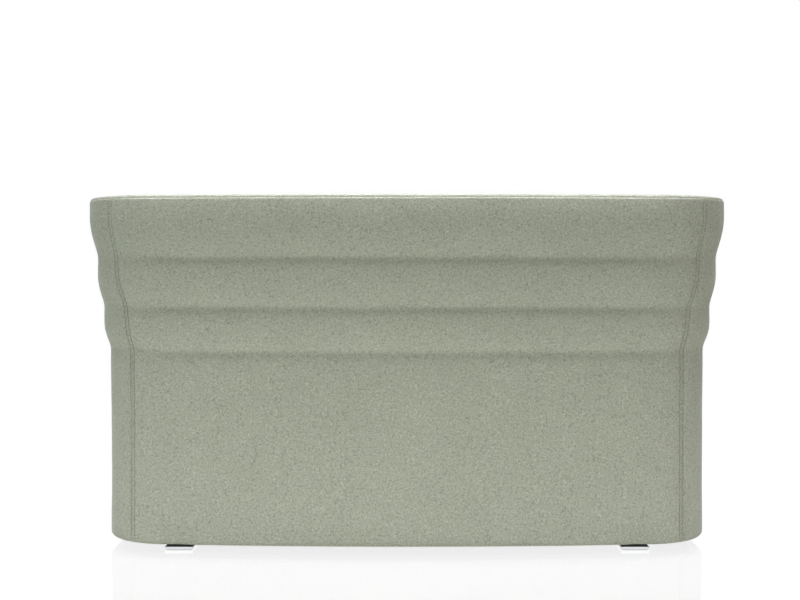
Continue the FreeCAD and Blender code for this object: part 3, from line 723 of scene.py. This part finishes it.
class SOFA_OT_corner_stitches(bpy.types.Operator):
    """Sews two rows of stitches beside each corner seam of the outer cover"""
    bl_idname = "sofa.corner_stitches"
    bl_label = "Corner Stitches"

    def execute(self, context):
        wall, sewing, _ = tools(context)
        corner = wall.sizes.corner_radius
        thread = finish("spun_polyester_thread", even, context.scene.sofa_colours.thread, 0.75, 0.8, 0.12)
        heights = np.arange(wall.roll_z - 0.004, wall.top_z + 0.001, FINE_STEP)
        stitches = []
        for side, row in ((-1, -1), (-1, 1), (1, -1), (1, 1)):
            turn = row * sewing.row_offset / (corner + wall.outside_u(wall.seam_run, heights))
            runs = side * (wall.seam_run + wall.seam_shift(heights) + turn * corner)
            u = wall.outside_u(runs, heights) - ROW_DEPTH + sewing.thread_radius * 0.6
            line, out = wall.points(runs, u, heights), wall.place(runs)[1]
            along = lengths_along(line)
            firsts = np.arange(0.002, along[-1] - sewing.stitch_pitch, sewing.stitch_pitch)
            starts, ends = (at_lengths(line, at) for at in (firsts, firsts + sewing.stitch_length))
            outward = np.pad(out, ((0, 0), (0, 1)))[np.searchsorted(along, firsts)]
            stitches += [stitch(*ends_out, sewing.thread_radius) for ends_out in zip(starts, ends, outward)]
        piece("corner_stitches", *gathered(stitches), thread, "wool_felt")
        return {"FINISHED"}


class SOFA_OT_arm_facings(bpy.types.Operator):
    """Covers the arm fronts with pillowed facings"""
    bl_idname = "sofa.arm_facings"
    bl_label = "Arm Facings"

    def execute(self, context):
        wall, _, felt = tools(context)
        thickness, first = wall.sizes.thickness, wall.creases[0]
        # Border of the facing: up the outside, over the crown, down the inside and along the bottom
        low_u, low_z, high_z = wall.outside_profile()
        outer = joined(low_u[2:], wall.outside_u(wall.end_run, high_z))
        outer_z = joined(low_z[2:], high_z)
        inner_z = joined(
            np.linspace(wall.under, first, 24)[:-1], np.arange(first, wall.top_z, 0.006), wall.top_z)
        inner = np.where(inner_z < first, -thickness, wall.inside_u(inner_z))
        across = np.linspace(1, -1, 24)[1:-1]
        middle, half = (outer[-1] + inner[-1]) / 2, (outer[-1] - inner[-1]) / 2
        crown_z = wall.top_z + (CAD_HIGH.z - wall.top_z) * (1 - np.abs(across) ** 2.4) ** 0.6
        bottom = np.linspace(-thickness, low_u[2], 10)[1:-1]
        u = joined(outer, middle + half * across, inner[::-1], bottom)
        z = joined(outer_z, crown_z, inner_z[::-1], np.full(len(bottom), wall.under))
        # Rings of points step in from the border to the spine and stand out as they go
        spine_z = np.clip(z, wall.under + 0.036, wall.seam_z - 0.032)
        spine = np.stack([np.interp(spine_z, wall.creases, wall.peaks) - thickness / 2, spine_z], 1)
        border = np.stack([u, z], 1)
        reach = np.linalg.norm(spine - border, axis=1)
        inward = (spine - border) / reach[:, None]
        depths = (0, 0.0006, 0.0015, 0.0028, 0.0045, 0.007, 0.011, 0.017, 0.025, 0.033, 1.0)
        edge, pillow, back = 0.0055, 0.0022, COVER + 0.004
        for side, sign in SIDES.items():
            rings = [np.stack([sign * (wall.half + u), np.full(len(u), wall.front + back), z], 1)]
            for depth in depths:
                step = np.minimum(depth, reach)
                flat = border + inward * step[:, None]
                y = wall.front + turned_edge(depth, edge) - pillow * smooth_step(step, 0.004, 0.034)
                rings.append(np.stack([sign * (wall.half + flat[:, 0]), y, flat[:, 1]], 1))
            faces = [tuple(range(len(u))), *ring_faces(len(rings), len(u))]
            made = piece(f"{side}_arm_facing", np.concatenate(rings), faces, felt, "wool_felt",
                         replaces=(f"{side}_facing_cover", "facing_pads"))
        return {"FINISHED"}


class SOFA_OT_front_apron(bpy.types.Operator):
    """Covers the board under the seat's front edge"""
    bl_idname = "sofa.front_apron"
    bl_label = "Front Apron"

    def execute(self, context):
        wall, _, felt = tools(context)
        low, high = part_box("front_apron_cover")
        board_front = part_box("front_board")[0].y - LAYER_GAP
        roll, edge, end_edge, swell = wall.sizes.bottom_radius, 0.012, 0.004, 0.0025
        turn = np.linspace(0, QUARTER, 9)
        rise = np.linspace(low.z + roll, high.z - edge, 16)[1:-1]
        y = joined(high.y, low.y + roll + 0.004, low.y + roll - roll * np.sin(turn),
                   low.y - swell * np.sin(np.linspace(0, math.pi, 16))[1:-1],
                   low.y + edge - edge * np.cos(turn), high.y)
        z = joined(low.z, low.z, low.z + roll - roll * np.cos(turn), rise,
                   high.z - edge + edge * np.sin(turn), high.z)
        back_y = np.maximum(y, board_front)
        back_z = np.clip(z, low.z + COVER, high.z - COVER)
        width = high.x - low.x
        x = joined(SEAM_DISTANCES, np.linspace(0.02, width - 0.02, 90), width - SEAM_DISTANCES[::-1])
        x = x[:, None] + low.x
        fall = turned_edge(np.minimum(x - low.x, high.x - x), end_edge)
        front = np.minimum(y + fall + 0.0005 * uneven(x, z, 9.1, 0.09), back_y - 0.001)
        front[:, [0, -1]] = high.y
        grids = (np.dstack(np.broadcast_arrays(x, *sides)) for sides in ((front, z), (back_y, back_z)))
        made = piece("front_apron", *between_grids(*grids), felt, "wool_felt",
                     replaces=("front_apron_cover", "front_apron_foam"))
        return {"FINISHED"}


# Seat

CUSHION_EDGE = 0.018
CUSHION_CROWN = 0.018
CUSHION_WAIST = 0.004  # how far its sides are drawn in before it is filled
CUSHION_START = 0.007  # how much smaller the cushion is before it is filled
CUSHION_REACH = 0.024  # how far filling may move a point
CUSHION_SWELL = 0.008  # how far its crown rises above the seat height
REAR_CORNER = 0.067
SMALL_CORNER = 0.026
OUTLINE_STEP = 0.006
VOXEL, QUICK_VOXEL = 0.0065, 0.012
CLOTH_FRAMES = 20
WELT_PASSES = 6  # smoothings of a welt's line


def cushion_plan(low, high, inset):
    """Outline of the right cushion: large radius at the rear outer corner, small ones elsewhere."""
    corners = [(low.x, low.y, SMALL_CORNER), (high.x, low.y, SMALL_CORNER),
               (high.x, high.y, REAR_CORNER), (low.x, high.y, SMALL_CORNER)]
    points = []
    for number, (x, y, radius) in enumerate(corners):
        middle = Vector((x + (radius if x == low.x else -radius), y + (radius if y == low.y else -radius)))
        turn = math.pi + number * QUARTER + np.linspace(0, QUARTER, 9)
        arc = max(0.004, radius - inset)
        points.append(np.stack([middle.x + arc * np.cos(turn), middle.y + arc * np.sin(turn)], 1))
    points = np.concatenate([*points, points[0][:1]])
    around = lengths_along(points)[-1]
    return at_lengths(points, np.linspace(0, around, int(around / OUTLINE_STEP), endpoint=False))


def cushion_form(low, high):
    """Vertices and faces of the unfilled cushion: crowned, with drawn-in sides."""
    shoulder = high.z - CUSHION_CROWN
    sides = shoulder - low.z - 2 * CUSHION_EDGE
    turns = np.linspace(0, QUARTER, 6)
    edge = [(CUSHION_EDGE * (1 - math.cos(t)), CUSHION_EDGE * (1 - math.sin(t))) for t in turns]
    sections = [(low.z + rise, draw) for rise, draw in edge]
    sections += [(low.z + CUSHION_EDGE + sides * share, CUSHION_WAIST * math.sin(math.pi * share))
                 for share in np.linspace(0, 1, 9)[1:-1]]
    sections += [(shoulder - rise, draw) for rise, draw in edge[::-1]]
    outline = cushion_plan(low, high, CUSHION_START)
    middle = outline.mean(0)
    out = outline - middle
    reach = np.linalg.norm(out, axis=1)[:, None]
    levels = [(out * (1 - draw / reach), z) for z, draw in sections]
    top = levels[-1][0]
    levels += [(top * share, shoulder + CUSHION_CROWN * (1 - share**2))
               for share in (0.8, 0.6, 0.4, 0.2, 0.06)]
    count = len(outline)
    rings = [np.column_stack([middle + offset, np.full(count, z)]) for offset, z in levels]
    last = (len(rings) - 1) * count
    faces = [tuple(range(count))[::-1], *ring_faces(len(rings), count), tuple(range(last, last + count))]
    return np.concatenate(rings), faces


def filled_cushion(low, high):
    """Mesh of the right cushion after its cover has been filled, as coordinates and faces."""
    vertices, faces = cushion_form(low, high)
    mesh = bpy.data.meshes.new("cushion_start")
    mesh.from_pydata([tuple(v) for v in vertices], [], faces)
    made = bpy.data.objects.new("cushion_start", mesh)
    bpy.context.scene.collection.objects.link(made)
    bpy.ops.object.select_all(action="DESELECT")
    made.select_set(True)
    bpy.context.view_layer.objects.active = made
    remesh = made.modifiers.new("Remesh", "REMESH")
    remesh.mode = "VOXEL"
    remesh.voxel_size = VOXEL
    bpy.ops.object.modifier_apply(modifier=remesh.name)
    smooth = made.modifiers.new("Smooth", "SMOOTH")
    smooth.iterations = 4
    bpy.ops.object.modifier_apply(modifier=smooth.name)
    start = np.array([v.co for v in made.data.vertices])
    cloth = made.modifiers.new("Cloth", "CLOTH")
    cloth.settings.use_pressure = True
    cloth.settings.uniform_pressure_force = 4.0
    cloth.settings.effector_weights.gravity = 0.0
    cloth.settings.tension_stiffness = 25
    cloth.settings.compression_stiffness = 25
    cloth.settings.bending_stiffness = 4
    cloth.settings.shrink_min = 0.004
    cloth.point_cache.frame_start = 1
    cloth.point_cache.frame_end = CLOTH_FRAMES
    for number in range(1, CLOTH_FRAMES + 1):
        bpy.context.scene.frame_set(number)
    bpy.ops.object.modifier_apply(modifier=cloth.name)
    bpy.context.scene.frame_set(1)
    move = np.array([v.co for v in made.data.vertices]) - start
    far = np.linalg.norm(move, axis=1)[:, None]
    final = start + move * CUSHION_REACH * np.tanh(far / CUSHION_REACH) / np.maximum(far, 1e-9)
    # It lies flat on the deck and stays domed above
    final[:, 2] = np.maximum(final[:, 2], low.z)
    for axis, (least, most) in enumerate(zip(low, (high.x, high.y, high.z + CUSHION_SWELL))):
        first, last = final[:, axis].min(), final[:, axis].max()
        final[:, axis] = least + (final[:, axis] - first) * (most - least) / (last - first)
    polygons = [tuple(p.vertices) for p in made.data.polygons]
    bpy.data.objects.remove(made)
    bpy.data.meshes.remove(mesh)
    return final, polygons


def settled(outline, tree, z):
    """Closed line laid on the cushion's surface near an outline at a height."""
    points = np.array([tree.find_nearest(Vector((x, y, z)))[0] for x, y in outline])
    for _ in range(WELT_PASSES):
        points = (np.roll(points, 1, 0) + 2 * points + np.roll(points, -1, 0)) / 4
    return points


class SOFA_OT_seat_cushions(bpy.types.Operator):
    """Fills the two loose seat cushions and sews their welts"""
    bl_idname = "sofa.seat_cushions"
    bl_label = "Seat Cushions"

    def execute(self, context):
        _, sewing, felt = tools(context)
        low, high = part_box("right_cushion_cover")
        vertices, faces = filled_cushion(low, high)
        tree = BVHTree.FromPolygons([Vector(v) for v in vertices], faces)
        outline = cushion_plan(low, high, 0.002)
        seams = (low.z + 0.012, high.z - CUSHION_CROWN - 0.004)
        welts = [tube(settled(outline, tree, z), sewing.welt_radius, sides=10) for z in seams]
        welt_vertices, welt_faces = gathered(welts)
        for side, sign in SIDES.items():
            mirror = np.array([sign, 1.0, 1.0])
            body = f"{side}_cushion"
            made = piece(f"{side}_seat_cushion", vertices * mirror, faces, felt, "wool_felt", body,
                         (f"{side}_cushion_cover", f"{side}_cushion_core"))
            divide = made.modifiers.new("Finer", "SUBSURF")
            divide.levels = divide.render_levels = 1
            welt = np.array(welt_vertices) * mirror
            piece(f"{side}_cushion_welts", welt, welt_faces, felt, "wool_felt", body)
        return {"FINISHED"}


class SOFA_OT_seat_deck(bpy.types.Operator):
    """Stretches the straps and the deck cloth under the cushions"""
    bl_idname = "sofa.seat_deck"
    bl_label = "Seat Deck"

    def execute(self, context):
        wall = tools(context)[0]
        thickness = wall.sizes.thickness
        low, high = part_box("seat_straps")
        count, width, margin, play = 10, 0.060, 0.040, 0.001
        strap_sag, worn_edge = 0.0012, 0.0004
        outermost = wall.half - thickness - margin - width / 2
        middles = np.linspace(-outermost, outermost, count)
        across = np.linspace(-1, 1, 9)
        edge = worn_edge * across**6
        straps = []
        for middle in middles:
            end = wall.back_line(abs(middle) + width / 2, thickness + play)
            y = np.linspace(low.y, end, 40)[:, None]
            sag = strap_sag * np.sin(math.pi * (y - low.y) / (end - low.y))
            x = middle + across * width / 2
            straps.append(between_grids(*(
                np.dstack(np.broadcast_arrays(x, y, z))
                for z in (high.z - sag - edge, low.z - sag * 0.9 + edge))))
        piece("elastic_straps", *gathered(straps), finish("woven_elastic_webbing", webbing), "elastic_strap",
              replaces=("seat_straps",))

        low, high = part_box("deck_cloth")
        columns, rows = 110, 60
        half, lift, cloth_dip, cloth_thickness = high.x, 0.0010, 0.0010, 0.0018
        grid = []
        for x in np.sin(np.linspace(-QUARTER, QUARTER, columns)) * half:
            end = wall.back_line(x, wall.half - half)
            ys = np.linspace(low.y, end, rows)
            dip = cloth_dip * smooth_step(np.min(np.abs(middles - x)), width / 2, width / 2 + 0.02)
            fade = np.minimum(1, np.minimum(ys - low.y, end - ys) / 0.06)
            grid.append(np.stack([np.full(rows, x), ys, low.z + lift - dip * fade], 1))
        faces = [(first, *others[::-1]) for first, *others in grid_faces(columns, rows)]
        black = context.scene.sofa_colours.black_cloth
        material = finish("black_needle_felt", even, black, 0.95, 1.6, 0.35, bump=0.5, depth=0.0005)
        cloth = piece("deck_cloth_sheet", np.concatenate(grid), faces, material, "deck_cloth",
                      replaces=("deck_cloth",))
        thicken(cloth, cloth_thickness)
        return {"FINISHED"}


SPACER_HALF = 0.0257  # half of the hole round a foot's spacer
STAPLE_WIRE = 0.0005  # radius
STAPLE_LEG = ((0.005, 0.003), (0.005, 0.0), (0.0046, -0.0004))  # reach and height of a staple's bends
STAPLE_SUNK = 0.0001


class SOFA_OT_underside(bpy.types.Operator):
    """Closes the underside with the dust cloth and its staples"""
    bl_idname = "sofa.underside"
    bl_label = "Underside"

    def execute(self, context):
        wall, sewing, _ = tools(context)
        low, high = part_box("dust_cover")
        half = high.x
        outline = [(x, wall.back_line(x, wall.half - half)) for x in np.linspace(-half, half, 121)]
        outline += [(x, low.y) for x in np.linspace(half, -half, 61)]
        loops = [outline]
        for side in SIDES:
            for end in ("front", "rear"):
                foot_low, foot_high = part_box(f"{end}_{side}_foot")
                middle = (foot_low + foot_high) / 2
                square = [(-1, -1), (1, -1), (1, 1), (-1, 1)]
                loops.append([(middle.x + a * SPACER_HALF, middle.y + b * SPACER_HALF) for a, b in square])
        work = bmesh.new()
        edges = []
        for loop in loops:
            ring = [work.verts.new((x, y, (low.z + high.z) / 2)) for x, y in loop]
            edges += [work.edges.new((a, b)) for a, b in zip(ring, ring[1:] + ring[:1])]
        bmesh.ops.triangle_fill(work, use_beauty=True, use_dissolve=False, edges=edges)
        vertices = [tuple(v.co) for v in work.verts]
        faces = [tuple(v.index for v in f.verts) for f in work.faces]
        work.free()
        black = context.scene.sofa_colours.black_cloth
        material = finish("black_spunbond_cloth", even, black, 0.9, 1.2, 0.3, bump=0.4, depth=0.0003)
        dust = piece("dust_cloth_sheet", vertices, faces, material, "dust_cloth", replaces=("dust_cover",))
        thicken(dust, high.z - low.z)

        staples = []
        inset = wall.sizes.bottom_radius + wall.sizes.cover_return - 0.0045
        for run in np.arange(-wall.end_run + 0.02, wall.end_run - 0.015, sewing.staple_pitch):
            origin, out = wall.place(run)
            middle = np.array([*(origin - out * inset), wall.under - STAPLE_SUNK])
            staples.append(self.staple(middle, np.array([-out[1], out[0], 0.0])))
        low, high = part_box("front_apron_cover")
        for x in np.arange(low.x + 0.03, high.x - 0.02, sewing.staple_pitch):
            middle = np.array([x, high.y - 0.006, low.z - STAPLE_SUNK])
            staples.append(self.staple(middle, np.array([1.0, 0.0, 0.0])))
        wire = finish("galvanised_staple_wire", even, linear("#A9ABAD"), 0.35, 3.0, 0.1, metallic=1.0)
        piece("bottom_staples", *gathered(staples), wire, "chrome_foot")
        return {"FINISHED"}

    def staple(self, middle, along):
        """Flat wire crown whose ends turn up into the wood."""
        up = np.array([0.0, 0.0, 1.0])
        path = [middle - along * reach + up * rise for reach, rise in STAPLE_LEG]
        path += [middle + along * reach + up * rise for reach, rise in STAPLE_LEG[::-1]]
        return tube(path, STAPLE_WIRE, sides=6, closed=False)


class SOFA_OT_timber_and_feet(bpy.types.Operator):
    """Gives the timber frame, boards, feet and fittings their finishes"""
    bl_idname = "sofa.timber_and_feet"
    bl_label = "Timber and Feet"

    def execute(self, context):
        chrome_tint = context.scene.sofa_colours.chrome
        birch, birch_dark = linear("#DCC49B"), linear("#A98A5E")
        layers, bent_layers = 13 / 0.018, 3 / 0.004
        ply = [finish(f"birch_plywood_{name}", plywood, birch, birch_dark, axis, layers)
               for axis, name in enumerate("xyz")]
        chrome = finish("chrome_plated_steel", even, chrome_tint, 0.09, 30.0, 0.02, metallic=1.0, bump=0.02)
        finishes = {
            "bottom_ring": ply[2], "seat_ring": ply[2], "top_ring": ply[2], "front_bottom_rail": ply[2],
            "front_board": ply[1], "left_front_former": ply[1], "right_front_former": ply[1],
            "centre_stretcher": ply[0],
            "outer_skin": finish(
                "bending_plywood", plywood, linear("#CDAE84"), linear("#9A7850"), 1, bent_layers),
            "inner_panel": finish("pressed_hardboard", even, linear("#8A6A48"), 0.7, 2.0, 0.2, bump=0.3),
            "foot_blocks": finish("planed_beech", even, linear("#CFA67E"), 0.55, 5.0, 0.12),
            "foot_spacers": finish("moulded_black_plastic", even, linear("#161617"), 0.55, 0.6, 0.1),
            "foot_glides": finish("black_nylon", even, linear("#1C1C1E"), 0.4, 0.8, 0.1),
            "deck_grip_strips": finish(
                "hook_tape", even, linear("#1B1B1D"), 0.8, 1.2, 0.4, bump=0.8, depth=0.001),
        }
        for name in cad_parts:
            if name.endswith("_foot"):
                finishes[name] = chrome
            elif "arm_rib" in name:
                finishes[name] = ply[1]
            elif "_rib" in name:
                finishes[name] = ply[0]
        for name, material in finishes.items():
            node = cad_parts[name]
            node.data.materials.clear()
            node.data.materials.append(material)
            if name.endswith("_foot"):
                soften = node.modifiers.new("Polished edges", "BEVEL")
                soften.width, soften.segments, soften.angle_limit = 0.0004, 2, math.radians(30)
        return {"FINISHED"}


WHITE = (1.0, 1.0, 1.0, 1.0)
FLOOR_REACH = 12.0
MIRROR_SHARE = 0.165  # how much of the floor's white is a mirror image of the sofa
SHADOW_TINT = (0.03, 0.03, 0.03, 1.0)
WORLD_LIGHT = 0.03
SENSOR_WIDTH = 36.0
# Name, place, target, size, power in watts, spread in degrees and tint of each lamp
LAMPS = (
    ("overhead_softbox", (0.1, 1.6, 3.0), (0.1, 1.6, 0.0), (3.2, 2.6), 45.0, 70, "#FBFAFF"),
    ("edge_strip", (0.1, 0.4, 3.0), (0.1, 0.4, 0.0), (3.2, 0.12), 4.5, 14, "#E4E0FF"),
    ("seat_softbox", (0.1, -1.0, 3.0), (0.1, -1.0, 0.0), (3.2, 2.6), 25.0, 70, "#FAFAFF"),
    ("front_softbox", (0.0, -3.2, 1.6), (0.0, 0.0, 0.4), (2.4, 1.6), 50.0, 180, "#FFFFFF"),
    ("left_softbox", (3.0, 2.2, 1.2), (0.0, 0.2, 0.4), (1.6, 1.4), 20.5, 180, "#EAF4FF"),
    ("right_softbox", (-3.0, 2.2, 1.2), (0.0, 0.2, 0.4), (1.6, 1.4), 13.0, 180, "#FFFFFF"),
    ("low_strip", (0.1, 1.25, 0.03), (0.1, 0.3, 0.03), (3.0, 0.05), 0.17, 60, "#FFFCF2"),
)


class SOFA_OT_studio(bpy.types.Operator):
    """Sets the pale floor, the soft light and the camera behind the sofa"""
    bl_idname = "sofa.studio"
    bl_label = "Studio"

    def execute(self, context):
        scene = context.scene
        studio = scene.sofa_studio
        self.floor(scene)
        self.world(scene)
        for name, place, target, size, power, spread, tint in LAMPS:
            light = bpy.data.lights.new(name, "AREA")
            light.shape, light.energy, light.color = "RECTANGLE", power, linear(tint)
            light.size, light.size_y = size
            light.spread = math.radians(spread)
            lamp = bpy.data.objects.new(name, light)
            lamp.location = place
            lamp.rotation_euler = (Vector(target) - Vector(place)).to_track_quat("-Z", "Y").to_euler()
            scene.collection.objects.link(lamp)
        data = bpy.data.cameras.new("rear_camera")
        data.lens, data.sensor_width = studio.lens, SENSOR_WIDTH
        camera = bpy.data.objects.new("rear_camera", data)
        camera.location = studio.camera_place
        camera.rotation_euler = (QUARTER - studio.camera_pitch, 0.0, math.pi)
        scene.collection.objects.link(camera)
        scene.camera = camera
        scene.view_settings.view_transform = "Standard"
        return {"FINISHED"}

    def seen(self, tree):
        """1 for rays from the camera, or by way of gloss or glass, and 0 for the rest."""
        path = add_node(tree, "LightPath").outputs
        first = add_node(tree, "Math", {
            0: path["Is Camera Ray"], 1: path["Is Glossy Ray"]}, operation="MAXIMUM")
        return add_node(tree, "Math", {
            0: first.outputs[0], 1: path["Is Transmission Ray"]}, operation="MAXIMUM").outputs[0]

    def floor(self, scene):
        """White vinyl floor that shows a faint mirror image and shadow of the sofa."""
        mesh = bpy.data.meshes.new("floor")
        corners = [(a * FLOOR_REACH, b * FLOOR_REACH, 0) for a, b in ((-1, -1), (1, -1), (1, 1), (-1, 1))]
        mesh.from_pydata(corners, [], [(0, 1, 2, 3)])
        floor = bpy.data.objects.new("floor", mesh)
        scene.collection.objects.link(floor)
        material = bpy.data.materials.new("white_studio_vinyl")
        material.use_nodes = True
        tree = material.node_tree
        tree.nodes.clear()
        white = add_node(tree, "Emission", {"Color": WHITE, "Strength": 1.0})
        matt = add_node(tree, "BsdfDiffuse", {"Color": rgba(scene.sofa_colours.floor)})
        satin = add_node(tree, "BsdfGlossy", {"Color": WHITE, "Roughness": 0.05})
        mirrored = add_node(tree, "MixShader", {0: MIRROR_SHARE, 1: white.outputs[0], 2: satin.outputs[0]})
        shadow = add_node(tree, "BsdfDiffuse", {"Color": SHADOW_TINT})
        shaded = add_node(tree, "AddShader", {0: mirrored.outputs[0], 1: shadow.outputs[0]})
        whole = add_node(tree, "MixShader", {0: self.seen(tree), 1: matt.outputs[0], 2: shaded.outputs[0]})
        add_node(tree, "OutputMaterial", {"Surface": whole.outputs[0]})
        mesh.materials.append(material)

    def world(self, scene):
        """White surroundings that light the sofa only a little."""
        world = bpy.data.worlds.new("white_studio")
        world.use_nodes = True
        tree = world.node_tree
        tree.nodes.clear()
        white = add_node(tree, "Background", {"Color": WHITE, "Strength": 1.0})
        soft = add_node(tree, "Background", {"Color": WHITE, "Strength": WORLD_LIGHT})
        whole = add_node(tree, "MixShader", {0: self.seen(tree), 1: soft.outputs[0], 2: white.outputs[0]})
        add_node(tree, "OutputWorld", {"Surface": whole.outputs[0]})
        scene.world = world


STEPS = (
    SOFA_OT_wall_covers, SOFA_OT_top_border, SOFA_OT_corner_stitches, SOFA_OT_arm_facings,
    SOFA_OT_front_apron, SOFA_OT_seat_cushions, SOFA_OT_seat_deck, SOFA_OT_underside,
    SOFA_OT_timber_and_feet, SOFA_OT_studio,
)


class SOFA_PT_sidebar(bpy.types.Panel):
    """Sizes, colours and steps of the sofa"""
    bl_idname = "SOFA_PT_sidebar"
    bl_label = "Lounge Sofa"
    bl_space_type = "VIEW_3D"
    bl_region_type = "UI"
    bl_category = "Sofa"

    def draw(self, context):
        for name, group in GROUPS.items():
            box = self.layout.box()
            for field in group.__annotations__:
                box.prop(getattr(context.scene, name), field)
        for step in STEPS:
            self.layout.operator(step.bl_idname)


def register():
    for group in (*GROUPS.values(), *STEPS, SOFA_PT_sidebar):
        bpy.utils.register_class(group)
    for name, group in GROUPS.items():
        setattr(bpy.types.Scene, name, bpy.props.PointerProperty(type=group))


def unregister():
    for name in GROUPS:
        delattr(bpy.types.Scene, name)
    for group in (SOFA_PT_sidebar, *reversed(STEPS), *GROUPS.values()):
        bpy.utils.unregister_class(group)


def main():
    register()
    for step in STEPS:
        group, name = step.bl_idname.split(".")
        getattr(getattr(bpy.ops, group), name)()


if __name__ == "__main__":
    main()
